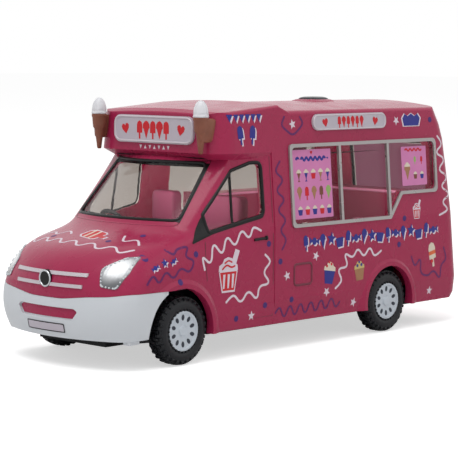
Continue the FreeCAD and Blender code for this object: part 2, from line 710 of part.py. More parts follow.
def make_signs():
    half, tall = size("sign_length") / 2, size("sign_height") / 2
    corners = [(side * half, FRONT_SIGN_HEIGHT + rise * tall, 1.3)
               for side, rise in ((-1, -1), (1, -1), (1, 1), (-1, 1))]
    face_x = POD_FRONT_X - 0.15
    board = end_prism("front_board", corners, face_x, size("sign_thickness") + 0.15)
    keep(cut("front_board_seated", board, pod_solid("front_board_back", 0.0)), "front_sign")
    half, tall = size("side_sign_length") / 2, size("side_sign_height") / 2
    for side_name, side in SIDES:
        middle = NOSE_X - SIDE_SIGN_BACK
        corners = [(middle + way * half, SIDE_SIGN_HEIGHT + rise * tall, 1.1)
                   for way, rise in ((-1, -1), (1, -1), (1, 1), (-1, 1))]
        plate = side_plate("side_board_" + side_name, corners, size("sign_thickness"),
                           size("sign_thickness"), side)
        keep(plate, "side_sign_" + side_name)


CONE_RIM_HEIGHT = EAVES - 0.7
CONE_FRONT = 0.12


def make_cones():
    """Wafer cones with a fixing lug, hung at the pod's front corners."""
    radius = size("cone_radius")
    x = POD_FRONT_X + radius + CONE_FRONT
    low = CONE_RIM_HEIGHT - size("cone_height")
    for side_name, side in SIDES:
        y = side * size("cone_spacing") / 2
        wafer = document.addObject("Part::Cone", "wafer_" + side_name)
        wafer.Radius1 = 0.3
        wafer.setExpression("Radius2", cell("cone_radius"))
        wafer.setExpression("Height", cell("cone_height"))
        wafer.Placement.Base = VECTOR(x, y, low)
        rim = cylinder("wafer_rim_" + side_name, cell("cone_radius") + " + 0.12", 0.5,
                       (x, y, CONE_RIM_HEIGHT - 0.5), (0, 0, 1))
        lug_y = min(side * (abs(y) - 0.5), side * (abs(y) + 1.0))
        lug = box("cone_lug_" + side_name, (POD_FRONT_X - 2.0, lug_y, low + 2.3), (x, lug_y + 1.5, low + 4.2))
        whole = fuse("cone_whole_" + side_name, [wafer, rim, lug])
        keep(cut("cone_" + side_name, whole, pod_solid("cone_back_" + side_name, 0.0)), "wafer_cone_" + side_name)
        dome = document.addObject("Part::Ellipsoid", "ice_dome_" + side_name)
        dome.setExpression("Radius1", cell("ice_height"))
        dome.setExpression("Radius2", cell("cone_radius") + " + 0.1")
        dome.Angle1 = 0
        dome.Placement.Base = VECTOR(x, y, CONE_RIM_HEIGHT)
        keep(dome, "ice_cream_" + side_name)


VENT_BACK = 53.3


def make_vent():
    """A low roof hatch: a kerb and a shallow tinted dome."""
    x = NOSE_X - VENT_BACK
    half_length, half_width = size("vent_length") / 2, size("vent_width") / 2
    top = EAVES + size("roof_crown") + size("vent_height")
    roof_cut = box_solid("vent_back", 0.0)
    corners = [(x + way * half_length, turn * half_width, 1.2)
               for way, turn in ((-1, -1), (1, -1), (1, 1), (-1, 1))]
    low = top - 2.0
    wire = rounded_wire(corners, lambda u, v: VECTOR(u, v, low))
    kerb = extrusion("vent_kerb_block", feature("vent_kerb_outline", Part.Face(wire)), (0, 0, 1), 1.65)
    keep(cut("vent_kerb", kerb, roof_cut), "roof_hatch_kerb")
    lid_low = low + 1.65
    corners = [(x + way * (half_length - 0.9), turn * (half_width - 0.9), 1.0)
               for way, turn in ((-1, -1), (1, -1), (1, 1), (-1, 1))]
    upper = [(x + way * (half_length - 1.4), turn * (half_width - 1.4), 0.9)
             for way, turn in ((-1, -1), (1, -1), (1, 1), (-1, 1))]
    wires = [rounded_wire(corners, lambda u, v: VECTOR(u, v, lid_low)),
             rounded_wire(upper, lambda u, v: VECTOR(u, v, top))]
    keep(feature("vent_lid", Part.makeLoft(wires, True, True)), "roof_hatch_lid")


# ---------------------------------------------------------------------------
# Base plate with its axle carriers, screws and the plinth hole.
# ---------------------------------------------------------------------------
CARRIER_INNER_Y, CARRIER_OUTER_Y = 5.2, 8.0
CARRIER_HALF_LENGTH = 1.7
PILLAR_X = (FRONT_AXLE_X - 10.0, REAR_AXLE_X - 6.0)


def make_base():
    bottom = size("base_bottom")
    gap = size("base_gap")
    half = size("sill_half_width") - WALL - gap
    front = NOSE_X - 3.4
    back = TAIL_X + 1.5 + WALL + gap
    outline = rounded_wire(((back, -half, 2.0), (front, -half, 6.2), (front, half, 6.2), (back, half, 2.0)),
                           lambda u, v: VECTOR(u, v, bottom))
    solids = [extrusion("base_sheet", feature("base_outline", Part.Face(outline)), (0, 0, 1),
                        cell("base_thickness"))]
    tools = []
    reach = size("tyre_radius") + size("wheel_gap")
    inner = size("wheel_face") - size("tyre_width") - size("wheel_gap")
    for end_name, axle_x in AXLES:
        for side_name, side in SIDES:
            label = "%s_%s" % (end_name, side_name)
            low_y, high_y = sorted((side * inner, side * 20))
            tools.append(box("wheel_space_" + label, (axle_x - reach, low_y, 0),
                             (axle_x + reach, high_y, 9)))
            low_y, high_y = sorted((side * (inner - 0.8), side * inner))
            solids.append(box("wheel_well_" + label, (axle_x - reach - 0.8, low_y, bottom),
                              (axle_x + reach + 0.8, high_y, size("floor_bottom") - 0.1)))
            low_y, high_y = sorted((side * CARRIER_INNER_Y, side * CARRIER_OUTER_Y))
            solids.append(box("axle_carrier_" + label,
                              (axle_x - CARRIER_HALF_LENGTH, low_y, bottom),
                              (axle_x + CARRIER_HALF_LENGTH, high_y, size("tyre_radius") + 1.3)))
        tools.append(cylinder("axle_bore_" + end_name, "%s + %s" % (cell("axle_radius"), cell("axle_play")),
                              30.0, (axle_x, -15, size("tyre_radius")), (0, 1, 0)))
    # relief cast into the underside: sump, gearbox, tank and final drive
    solids.append(box("under_sump", (FRONT_AXLE_X + 2.2, -6.5, bottom - 0.8),
                      (FRONT_AXLE_X + 8.4, 6.5, bottom + 0.4)))
    solids.append(box("under_gearbox", (FRONT_AXLE_X - 9.0, -1.6, bottom - 0.5),
                      (FRONT_AXLE_X - 2.6, 1.6, bottom + 0.4)))
    solids.append(box("under_tank", (FRONT_AXLE_X - 20.0, -9.6, bottom - 0.6),
                      (FRONT_AXLE_X - 11.5, -4.2, bottom + 0.4)))
    hole = size("plinth_hole_radius")
    solids.append(cylinder("plinth_boss", cell("plinth_hole_radius") + " + 1.2",
                           size("floor_bottom") - bottom, (0, 0, bottom), (0, 0, 1)))
    tools.append(cylinder("plinth_hole", cell("plinth_hole_radius"), size("plinth_hole_depth") + 1,
                          (0, 0, bottom - 1), (0, 0, 1)))
    for number, x in enumerate(PILLAR_X, start=1):
        solids.append(cylinder("pillar_%d" % number, "1.5", size("floor_bottom") - bottom,
                               (x, 0, bottom), (0, 0, 1)))
    head_depth = 0.6
    screws = []
    for number, x in enumerate((FRONT_BOSS_X, REAR_BOSS_X), start=1):
        tools.append(cylinder("screw_way_%d" % number, cell("screw_radius") + " + 0.1", 5.0,
                              (x, 0, bottom - 1), (0, 0, 1)))
        low = bottom - 0.8 if x > 0 else bottom
        tools.append(cylinder("screw_seat_%d" % number, cell("screw_head_radius") + " + 0.1", 2.0,
                              (x, 0, low - 2.0 + head_depth), (0, 0, 1)))
        shank = cylinder("screw_shank_%d" % number, cell("screw_radius"), BASE_TOP + 2.8 - low - head_depth,
                         (x, 0, low + head_depth), (0, 0, 1))
        head = cylinder("screw_head_%d" % number, cell("screw_head_radius"), head_depth - 0.05,
                        (x, 0, low + 0.05), (0, 0, 1))
        screws.append(fuse("screw_%d" % number, [head, shank]))
    keep(group("screws", screws), "base_screws")
    keep(cut("base", fuse("base_solids", solids), fuse("base_tools", tools)), "base_plate")


# ---------------------------------------------------------------------------
# Inside: floors, seats, dashboard, steering wheel and servery counters.
# ---------------------------------------------------------------------------
SEATS = (("driver", -6.3, 4.6), ("passenger", 4.4, 8.6))  # name, middle y, width
STEERING_Y = -5.6


def make_interior():
    bottom = size("floor_bottom")
    inner = size("belt_half_width") - WALL - 0.25
    middle = SEAM_X
    keep(box("cab_floor_sheet", (middle, -inner, bottom), (FRONT_AXLE_X + 1.5, inner, FLOOR_TOP)), "cab_floor")
    keep(box("servery_floor_sheet", (TAIL_X + 3.2, -inner, bottom), (middle - 0.1, inner, FLOOR_TOP)),
         "servery_floor")
    seats = []
    for name, y, width in SEATS:
        low_y, high_y = y - width / 2, y + width / 2
        cushion = box("cushion_" + name, (middle + 2.2, low_y, FLOOR_TOP), (middle + 8.2, high_y, FLOOR_TOP + 3.4))
        rest = box("rest_" + name, (middle + 1.0, low_y, FLOOR_TOP), (middle + 2.8, high_y, FLOOR_TOP + 10.4))
        seats.append(fuse("seat_solid_" + name, [cushion, rest]))
    keep(group("seats", seats), "cab_seats")
    dash_profile = ((FRONT_AXLE_X - 4.2, FLOOR_TOP, 0), (FRONT_AXLE_X + 0.2, FLOOR_TOP, 0),
                    (FRONT_AXLE_X + 0.2, 15.6, 0.4), (FRONT_AXLE_X - 1.8, 17.2, 0.8),
                    (FRONT_AXLE_X - 3.4, 16.2, 0.5))
    wire = rounded_wire(dash_profile, lambda u, v: VECTOR(u, -10.3, v))
    dash = extrusion("dash", feature("dash_outline", Part.Face(wire)), (0, 1, 0), 20.6)
    keep(dash, "dashboard")
    ring = document.addObject("Part::Torus", "steering_ring")
    ring.Radius1, ring.Radius2 = 2.3, 0.28
    column_way = VECTOR(-0.8, 0, 0.6)
    centre = VECTOR(FRONT_AXLE_X - 4.6, STEERING_Y, 17.2)
    ring.Placement = FreeCAD.Placement(centre, FreeCAD.Rotation(VECTOR(0, 0, 1), column_way))
    start = centre - column_way * 1.9
    column = cylinder("steering_column", "0.45", 2.1, tuple(start), tuple(column_way))
    spoke = cylinder("steering_spoke", "0.22", 4.6, (centre.x, STEERING_Y - 2.3, centre.z), (0, 1, 0))
    wheel = fuse("steering", [ring, column, spoke])
    keep(cut("steering_seated", wheel, dash), "steering_wheel")
    back = TAIL_X + 5.2
    front = SEAM_X - 6.0
    top = FLOOR_TOP + size("counter_height")
    right = box("counter_right", (back, -inner + 1.2, FLOOR_TOP), (front, -inner + 5.2, top))
    rear = box("counter_rear", (back, -inner + 1.2, FLOOR_TOP), (back + 4.5, inner - 1.2, top))
    keep(fuse("counter", [right, rear]), "servery_counter")
    machine = box("machine_body", (back + 12, -inner + 1.4, top),
                  (back + 16.2, -inner + 4.8, top + size("machine_height")))
    keep(machine, "ice_cream_machine")


# ---------------------------------------------------------------------------
# Tail: lamps, blank number plate and rear step.
# ---------------------------------------------------------------------------
def make_tail():
    skin = cut("tail_skin", box_solid("tail_outer", -0.18), box_solid("tail_inner", 0.0))
    lamps = []
    for side_name, side in SIDES:
        low_y, high_y = sorted((side * 8.9, side * 10.1))
        lamp = box("tail_lamp_block_" + side_name, (TAIL_X - 2, low_y, 8.2), (TAIL_X + 4, high_y, 12.4))
        lamps.append(common("tail_lamp_solid_" + side_name, [skin, lamp]))
    keep(group("tail_lamp_pair", lamps), "tail_lamps")
    plate = box("rear_plate_block", (TAIL_X - 2, -3.4, 8.6), (TAIL_X + 4, 3.4, 10.1))
    keep(common("rear_plate_solid", [skin, plate]), "rear_number_plate")
    step = box("rear_step_block", (TAIL_X - 0.1, -9.0, 4.9), (TAIL_X + 3, 9.0, 6.2))
    keep(cut("rear_step_seated", step, box_solid("rear_step_back", 0.0)), "rear_step")


# ---------------------------------------------------------------------------
# Wheelsets: a steel rod with a hub and a tyre at each end.
# ---------------------------------------------------------------------------
HUB_SLOTS = 10


def revolve(name, profile, axle_x, side):
    """A profile of (distance along the axle outwards, radius) turned about the axle."""
    points = [VECTOR(axle_x, side * along, size("tyre_radius") + radius) for along, radius in profile]
    face = Part.Face(Part.makePolygon(points + points[:1]))
    blank = feature(name + "_profile", face)
    result = document.addObject("Part::Revolution", name)
    result.Source = blank
    result.Base = VECTOR(axle_x, 0, size("tyre_radius"))
    result.Axis = VECTOR(0, 1, 0)
    result.Angle = 360
    result.Solid = True
    return result


def make_wheelset(end_name, axle_x):
    face = size("wheel_face")
    back = face - size("tyre_width")
    seat, rod = size("hub_radius"), size("axle_radius")
    keep(cylinder(end_name + "_rod", cell("axle_radius"), 2 * (face - 0.9),
                  (axle_x, -(face - 0.9), size("tyre_radius")), (0, 1, 0)), end_name + "_axle")
    for side_name, side in SIDES:
        label = "%s_%s" % (end_name, side_name)
        disc_back, disc_face = face - 1.15, face - 0.35
        hub_profile = ((back + 0.3, rod), (back + 0.3, 1.2), (disc_back, 1.2), (disc_back, seat - 0.5),
                       (back + 0.3, seat - 0.5), (back + 0.3, seat), (face - 0.2, seat),
                       (face - 0.2, seat - 0.25), (disc_face, seat - 0.4), (disc_face - 0.1, 0.75),
                       (face - 0.25, 0.6), (face - 0.25, 0.0), (face - 0.9, 0.0), (face - 0.9, rod))
        disc = revolve("hub_disc_" + label, hub_profile, axle_x, side)
        slots = []
        for number in range(HUB_SLOTS):
            angle = 2 * math.pi * (number + 0.5) / HUB_SLOTS
            at = (axle_x + 1.75 * math.cos(angle), side * (disc_back - 0.2),
                  size("tyre_radius") + 1.75 * math.sin(angle))
            slots.append(cylinder("hub_slot_%s_%d" % (label, number), "0.24", 1.6, at, (0, side, 0)))
        keep(cut("hub_" + label, disc, group("hub_slots_" + label, slots)), "%s_hub_%s" % (end_name, side_name))
        radius = size("tyre_radius")
        tyre_profile = ((back, seat), (back, radius - 0.9), (back + 0.25, radius - 0.25),
                        (back + 0.7, radius), (face - 0.7, radius), (face - 0.2, radius - 0.3),
                        (face, radius - 0.9), (face, radius - 1.4), (face - 0.2, seat))
        keep(revolve("tyre_" + label, tyre_profile, axle_x, side), "%s_tyre_%s" % (end_name, side_name))


make_bumper()
lamp_pockets = make_headlights()
make_grille()
make_frames()
make_signs()
make_cones()
make_vent()
make_base()
make_interior()
make_tail()
for end_name, axle_x in AXLES:
    make_wheelset(end_name, axle_x)
make_shell()
make_glazing()

# ---------------------------------------------------------------------------
# Every object is checked before anything is written.
# ---------------------------------------------------------------------------
document.recompute()
faults = [item.Name for item in document.Objects
          if "Invalid" in item.State or "Error" in item.State]
for item in nodes:
    if item.Shape.isNull() or not item.Shape.isValid() or not item.Shape.Solids:
        faults.append(item.Label)
if faults:
    raise RuntimeError("failed: " + ", ".join(faults))
os.makedirs("parts", exist_ok=True)
for item in nodes:
    item.Shape.exportStep("parts/%s.step" % item.Label)
    print(item.Label, len(item.Shape.Solids), round(item.Shape.Volume, 2))
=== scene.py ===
import contextlib
import math

import bpy
from mathutils import Matrix, Vector


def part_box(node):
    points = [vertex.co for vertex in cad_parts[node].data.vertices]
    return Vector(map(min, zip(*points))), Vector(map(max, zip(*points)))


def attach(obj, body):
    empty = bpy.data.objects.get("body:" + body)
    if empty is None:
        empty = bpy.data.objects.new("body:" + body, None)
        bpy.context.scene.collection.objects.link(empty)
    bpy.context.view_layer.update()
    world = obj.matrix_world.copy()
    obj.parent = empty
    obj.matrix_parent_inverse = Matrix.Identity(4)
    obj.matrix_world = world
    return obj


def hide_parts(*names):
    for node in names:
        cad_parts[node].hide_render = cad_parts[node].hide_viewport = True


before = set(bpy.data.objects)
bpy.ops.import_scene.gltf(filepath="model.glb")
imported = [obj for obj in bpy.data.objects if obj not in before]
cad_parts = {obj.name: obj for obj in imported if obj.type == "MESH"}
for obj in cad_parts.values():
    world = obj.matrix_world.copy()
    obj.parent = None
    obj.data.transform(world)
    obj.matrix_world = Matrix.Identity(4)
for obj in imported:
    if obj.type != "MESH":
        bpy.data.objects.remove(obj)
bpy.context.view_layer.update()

# ---- Places, in metres.  MM turns a length in millimetres into metres.
# Along the van, places are measured from the front axle; heights from the ground.
MM = 0.001


def middle_of(node):
    """The middle of a node's box."""
    low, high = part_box(node)
    return (low + high) / 2


AXLE_X = middle_of("front_axle").x
REAR_X = middle_of("rear_axle").x
NOSE_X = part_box("front_bumper")[1].x
TAIL_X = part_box("body_shell")[0].x
SIDES = (("left", 1), ("right", -1))


# ---- Camera, lamps, floor.
CAMERA_AZIMUTH = math.radians(133.35)
CAMERA_HEIGHT = math.radians(5.43)
CAMERA_ROLL = math.radians(0.37)
CAMERA_DISTANCE = 261.04 * MM
CAMERA_LENS = 142.55
LOOK_AT = Vector((AXLE_X - 21.74 * MM, 0, 15.78 * MM))


def make_camera():
    back = Vector((math.sin(CAMERA_AZIMUTH) * math.cos(CAMERA_HEIGHT),
                   -math.cos(CAMERA_AZIMUTH) * math.cos(CAMERA_HEIGHT), math.sin(CAMERA_HEIGHT)))
    right = (-back).cross(Vector((0, 0, 1))).normalized()
    up = right.cross(-back)
    tilted_right = math.cos(CAMERA_ROLL) * right + math.sin(CAMERA_ROLL) * up
    tilted_up = math.cos(CAMERA_ROLL) * up - math.sin(CAMERA_ROLL) * right
    turn = Matrix((tilted_right, tilted_up, back)).transposed().to_4x4()
    bpy.ops.object.camera_add()
    camera = bpy.context.object
    camera.name = "camera"
    camera.matrix_world = Matrix.Translation(LOOK_AT + back * CAMERA_DISTANCE) @ turn
    camera.data.lens = CAMERA_LENS
    camera.data.sensor_width = 36
    camera.data.clip_start = 0.01
    camera.data.clip_end = 20
    bpy.context.scene.camera = camera


def make_lamp(name, place, size, power, aim=LOOK_AT):
    """A soft square lamp that faces the middle of the van, or the place given."""
    bpy.ops.object.light_add(type="AREA", location=place)
    lamp = bpy.context.object
    lamp.name = name
    lamp.data.size = size
    lamp.data.energy = power
    lamp.rotation_euler = (aim - Vector(place)).to_track_quat("-Z", "Y").to_euler()
    return lamp


WINDOWS = (("windscreen", (-1, 0, 0), 3.2), ("servery_glass_left", (0, -1, 0), 3.2),
           ("servery_glass_right", (0, 1, 0), 2.0))  # pane, way in, strength
BEHIND_PANE = 0.6 * MM


def make_window_lamps():
    """The light that comes in at each window: a lamp just inside it that lights and isn't seen."""
    for window, way, strength in WINDOWS:
        low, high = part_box(window)
        way, span = Vector(way), high - low
        width = span.y if way.x else span.x
        place = middle_of(window) + way * (abs(span.dot(way)) / 2 + BEHIND_PANE)
        power = math.pi * width * span.z * strength
        lamp = make_lamp("light_in_" + window, place, width, power, place + way)
        lamp.data.shape = "RECTANGLE"
        lamp.data.size_y = span.z
        lamp.visible_camera = False
        lamp.visible_glossy = False
        lamp.visible_transmission = False


# ---- Nodes.  A socket takes a number, a colour, another node, or one of a node's outputs.
def fill(tree, node, sockets):
    """Set a node's sockets, or join them to what feeds them."""
    for socket, source in sockets.items():
        if isinstance(source, bpy.types.Node):
            source = source.outputs[0]
        if isinstance(source, bpy.types.NodeSocket):
            tree.links.new(source, node.inputs[socket])
        else:
            node.inputs[socket].default_value = source


def add_node(tree, kind, sockets=None, **settings):
    """A shader node of a kind, with its settings and its sockets."""
    node = tree.nodes.new("ShaderNode" + kind)
    for key, value in settings.items():
        setattr(node, key, value)
    fill(tree, node, sockets or {})
    return node


PLAIN_WHITE = (1.0, 1.0, 1.0, 1.0)
DOME_LIGHT = 0.5
FLOOR_GREY = 0.86
FLOOR_GLOW = 0.55
FLOOR_SIZE = 6


def make_world():
    """An even dome that shows as plain white behind the van and in its gloss."""
    world = bpy.data.worlds.new("studio")
    bpy.context.scene.world = world
    world.use_nodes = True
    tree = world.node_tree
    tree.nodes.clear()
    rays = add_node(tree, "LightPath").outputs
    dome = add_node(tree, "Background", {"Color": PLAIN_WHITE, "Strength": DOME_LIGHT})
    plain = add_node(tree, "Background", {"Color": PLAIN_WHITE, "Strength": 1.0})
    clear = add_node(tree, "Math", {0: rays["Is Camera Ray"], 1: rays["Is Transmission Ray"]},
                     operation="MAXIMUM")
    seen = add_node(tree, "Math", {0: clear, 1: rays["Is Glossy Ray"]}, operation="MAXIMUM")
    mix = add_node(tree, "MixShader", {0: seen, 1: dome, 2: plain})
    add_node(tree, "OutputWorld", {"Surface": mix})


def make_floor():
    """A pale floor that keeps the van's shadow and runs out into the white."""
    bpy.ops.mesh.primitive_plane_add(size=FLOOR_SIZE)
    floor = bpy.context.object
    floor.name = "floor"
    material = bpy.data.materials.new("floor_pale")
    material.use_nodes = True
    tree = material.node_tree
    tree.nodes.clear()
    seen = add_node(tree, "LightPath").outputs["Is Camera Ray"]
    strength = add_node(tree, "Math", {0: seen, 1: FLOOR_GLOW}, operation="MULTIPLY")
    glow = add_node(tree, "Emission", {"Color": PLAIN_WHITE, "Strength": strength})
    matt = add_node(tree, "BsdfDiffuse", {"Color": (FLOOR_GREY, FLOOR_GREY, FLOOR_GREY, 1.0)})
    both = add_node(tree, "AddShader", {0: matt, 1: glow})
    add_node(tree, "OutputMaterial", {"Surface": both})
    floor.data.materials.append(material)


make_camera()
make_world()
make_floor()
make_lamp("key_lamp", (0.20, 0.06, 0.50), 0.35, 1.4)
make_lamp("fill_lamp", (-0.20, 0.40, 0.36), 0.40, 0.28)
make_window_lamps()
bpy.context.scene.view_settings.view_transform = "Standard"


# ---- Shared effects, as node groups.
def new_group(name, **inputs):
    """A shader group, with its named inputs as they are inside it."""
    group = bpy.data.node_groups.new(name, "ShaderNodeTree")
    for label, value in inputs.items():
        kind = "NodeSocketColor" if isinstance(value, tuple) else "NodeSocketFloat"
        group.interface.new_socket(name=label, in_out="INPUT", socket_type=kind).default_value = value
    return group, group.nodes.new("NodeGroupInput").outputs


def put_out(group, label, kind, source):
    """The group's one output."""
    group.interface.new_socket(name=label, in_out="OUTPUT", socket_type=kind)
    fill(group, group.nodes.new("NodeGroupOutput"), {label: source})
    return group


def noise_on_piece(group, scale, detail):
    """A noise pattern that sits on the piece itself."""
    place = add_node(group, "TexCoord").outputs["Object"]
    return add_node(group, "TexNoise", {"Vector": place, "Scale": scale, "Detail": detail}).outputs["Fac"]


def make_skin_group():
    """Orange peel and small dimples in paint or plastic, as a normal."""
    group, given = new_group("skin_relief", Scale=2500.0, Strength=0.1, Depth=0.00002)
    noise = noise_on_piece(group, given["Scale"], 2.0)
    bump = add_node(group, "Bump",
                    {"Height": noise, "Strength": given["Strength"], "Distance": given["Depth"]})
    return put_out(group, "Normal", "NodeSocketVector", bump)


def make_shade_group():
    """Uneven colour: soft patches of a second shade."""
    group, given = new_group("uneven_shade", Color=PLAIN_WHITE, Second=(0.5, 0.5, 0.5, 1.0), Scale=120.0,
                             Amount=0.3)
    noise = noise_on_piece(group, given["Scale"], 4.0)
    amount = add_node(group, "Math", {0: noise, 1: given["Amount"]}, operation="MULTIPLY")
    mix = add_node(group, "Mix", {"Factor": amount, "A": given["Color"], "B": given["Second"]},
                   data_type="RGBA")
    return put_out(group, "Color", "NodeSocketColor", mix.outputs["Result"])


def make_gloss_group():
    """Roughness that wanders between two values, as handling leaves it."""
    group, given = new_group("handled_gloss", Low=0.2, High=0.3, Scale=300.0)
    noise = noise_on_piece(group, given["Scale"], 5.0)
    span = add_node(group, "MapRange", {"Value": noise, "From Min": 0.3, "From Max": 0.7,
                                        "To Min": given["Low"], "To Max": given["High"]})
    return put_out(group, "Roughness", "NodeSocketFloat", span)


SKIN = make_skin_group()
SHADE = make_shade_group()
GLOSS = make_gloss_group()


def srgb(color):
    """A colour as the light values that a shader takes."""
    parts = [value / 255 for value in color]
    return tuple(p / 12.92 if p <= 0.04045 else ((p + 0.055) / 1.055) ** 2.4 for p in parts) + (1.0,)


def new_material(name):
    """A material with its one shader."""
    material = bpy.data.materials.new(name)
    material.use_nodes = True
    return material, material.node_tree, material.node_tree.nodes["Principled BSDF"]


def make_material(name, color, second, gloss, relief=(2500.0, 0.06), metallic=0.0, coat=0.0,
                  coat_roughness=0.05, shade=(120.0, 0.5), specular=0.5):
    """A finish: two shades, a low and a high roughness, and a relief of a scale and strength."""
    material, tree, shader = new_material(name)
    tone = add_node(tree, "Group", {"Color": srgb(color), "Second": srgb(second), "Scale": shade[0],
                                    "Amount": shade[1]}, node_tree=SHADE)
    polish = add_node(tree, "Group", {"Low": gloss[0], "High": gloss[1]}, node_tree=GLOSS)
    skin = add_node(tree, "Group", {"Scale": relief[0], "Strength": relief[1]}, node_tree=SKIN)
    fill(tree, shader, {"Base Color": tone, "Roughness": polish, "Normal": skin, "Metallic": metallic,
                        "Coat Weight": coat, "Coat Roughness": coat_roughness,
                        "Specular IOR Level": specular})
    return material


# The headlights' painted shade colour, and the place of their painted highlight.
LAMP_PAINTED_SHADE_GREY = (92, 94, 98)
LAMP_HIGHLIGHT_PLACE = (0.0, 10.0 * MM, 13.0 * MM)


def make_lamp_material():
    """A bright moulded lamp with upright flutes; painted shade greys its foot and rim, and a painted
    highlight whitens its core.
    """
    material = make_material("lamp_silver", (238, 240, 242), (214, 217, 222), (0.16, 0.28),
                             relief=(1500.0, 0.1), metallic=0.1, coat=0.6, shade=(900.0, 0.6))
    tree = material.node_tree
    shader = tree.nodes["Principled BSDF"]
    bright = shader.inputs["Base Color"].links[0].from_socket
    skin = shader.inputs["Normal"].links[0].from_socket
    place = add_node(tree, "TexCoord").outputs["Object"]
    axes = add_node(tree, "SeparateXYZ", {0: place}).outputs
    across = add_node(tree, "Math", {0: axes["Y"]}, operation="ABSOLUTE")
    lean = add_node(tree, "Math", {0: across, 1: -0.35, 2: axes["Z"]}, operation="MULTIPLY_ADD")
    rise = add_node(tree, "MapRange", {"Value": lean, "From Min": 7.6 * MM, "From Max": 9.7 * MM})
    flat = add_node(tree, "CombineXYZ", {"Y": across, "Z": axes["Z"]})
    away = add_node(tree, "VectorMath", {0: flat, 1: LAMP_HIGHLIGHT_PLACE}, operation="DISTANCE")
    core = add_node(tree, "MapRange", {"Value": away.outputs["Value"], "From Min": 1.75 * MM,
                                       "From Max": 0.75 * MM, "To Min": 0.12})
    light = add_node(tree, "Math", {0: rise, 1: core}, operation="MULTIPLY")
    tone = add_node(tree, "Mix", {"Factor": light, "A": srgb(LAMP_PAINTED_SHADE_GREY), "B": bright}, data_type="RGBA")
    flutes = add_node(tree, "TexWave", {"Vector": place, "Scale": 700.0}, bands_direction="Y")
    bump = add_node(tree, "Bump", {"Height": flutes.outputs["Fac"], "Strength": 0.35, "Distance": 0.00004,
                                   "Normal": skin})
    fill(tree, shader, {"Base Color": tone.outputs["Result"], "Normal": bump})
    return material


def make_glass(name, color, roughness, transmission=1.0):
    """Clear moulded glazing with a faint ripple."""
    material, tree, shader = new_material(name)
    skin = add_node(tree, "Group", {"Scale": 420.0, "Strength": 0.04}, node_tree=SKIN)
    fill(tree, shader, {"Base Color": srgb(color), "Roughness": roughness, "IOR": 1.22,
                        "Transmission Weight": transmission, "Normal": skin})
    return material


def make_ink(name, color, second, scale=900.0):
    """A satin printing ink with a fine mottle."""
    return make_material("ink_" + name, color, second, (0.35, 0.5), shade=(scale, 0.8), specular=0.3)


PINK = make_material("pink_enamel", (165, 39, 79), (153, 34, 71), (0.22, 0.32),
                     relief=(1400.0, 0.008), coat=0.12, coat_roughness=0.06, specular=0.2)
SHADOW_PINK = make_material("shadow_pink", (112, 16, 48), (92, 12, 40), (0.35, 0.5))
WHITE = make_material("white_enamel", (208, 212, 217), (194, 199, 205), (0.3, 0.42),
                      relief=(900.0, 0.05), coat=0.1)
SILVER = make_material("silver_paint", (206, 198, 204), (176, 168, 174), (0.34, 0.5),
                       relief=(5200.0, 0.2), metallic=0.2)
FRAME_SILVER = make_material("frame_silver", (176, 171, 170), (140, 136, 136), (0.24, 0.38),
                             relief=(5200.0, 0.2), metallic=0.6)
CHROME = make_material("chrome", (206, 208, 212), (170, 172, 178), (0.12, 0.22),
                       metallic=1.0)
BLACK = make_material("black_gloss", (10, 10, 12), (18, 18, 20), (0.25, 0.4), specular=0.25)
CHASSIS = make_material("chassis_black", (18, 18, 21), (26, 26, 30), (0.5, 0.65), relief=(3600.0, 0.3),
                        specular=0.2)
RUBBER = make_material("tyre_rubber", (18, 19, 23), (27, 29, 35), (0.36, 0.5),
                       relief=(4200.0, 0.25), specular=0.3)
HUB = make_material("hub_white", (200, 208, 216), (172, 182, 194), (0.3, 0.45), coat=0.2)
HUB_SHADOW = make_material("hub_shadow", (34, 40, 52), (50, 58, 72), (0.5, 0.7))
STEEL = make_material("bare_steel", (150, 150, 152), (110, 110, 112), (0.25, 0.45), metallic=1.0)
SIGN_WHITE = make_material("sign_white", (190, 182, 192), (176, 168, 180), (0.3, 0.42),
                           coat=0.1)
WAFER = make_material("wafer_brown", (150, 94, 74), (112, 66, 52), (0.45, 0.6),
                      relief=(3000.0, 0.2), shade=(900.0, 0.9), specular=0.3)
ICE = make_material("ice_white", (226, 226, 230), (208, 209, 215), (0.35, 0.5),
                    relief=(2200.0, 0.1))
TINT = make_material("hatch_tint", (30, 36, 44), (18, 22, 28), (0.22, 0.34), specular=0.25)
CABIN = make_material("cabin_pink", (150, 64, 98), (134, 54, 86), (0.4, 0.55),
                      relief=(2600.0, 0.1))
WHEEL_GREY = make_material("wheel_grey", (46, 44, 56), (64, 60, 74), (0.35, 0.5), relief=(2600.0, 0.1))
COUNTER = make_material("counter_pink", (142, 44, 76), (128, 38, 68), (0.35, 0.5))
# Painted highlight for the counters' front edge: a pale pink against the counter's own pink.
COUNTER_HIGHLIGHT = make_material("counter_painted_highlight", (214, 140, 172), (196, 118, 152), (0.3, 0.45))
MACHINE = make_material("machine_silver", (168, 168, 172), (132, 132, 138), (0.3, 0.45), metallic=0.7)
RED_LENS = make_material("red_lens", (196, 12, 14), (158, 8, 10), (0.2, 0.32), coat=0.15, specular=0.25)
LAMP = make_lamp_material()
GLAZING = make_glass("clear_glazing", (226, 220, 215), 0.03)
FILM_LILAC = make_glass("lilac_film", (222, 142, 184), 0.3, 0.8)

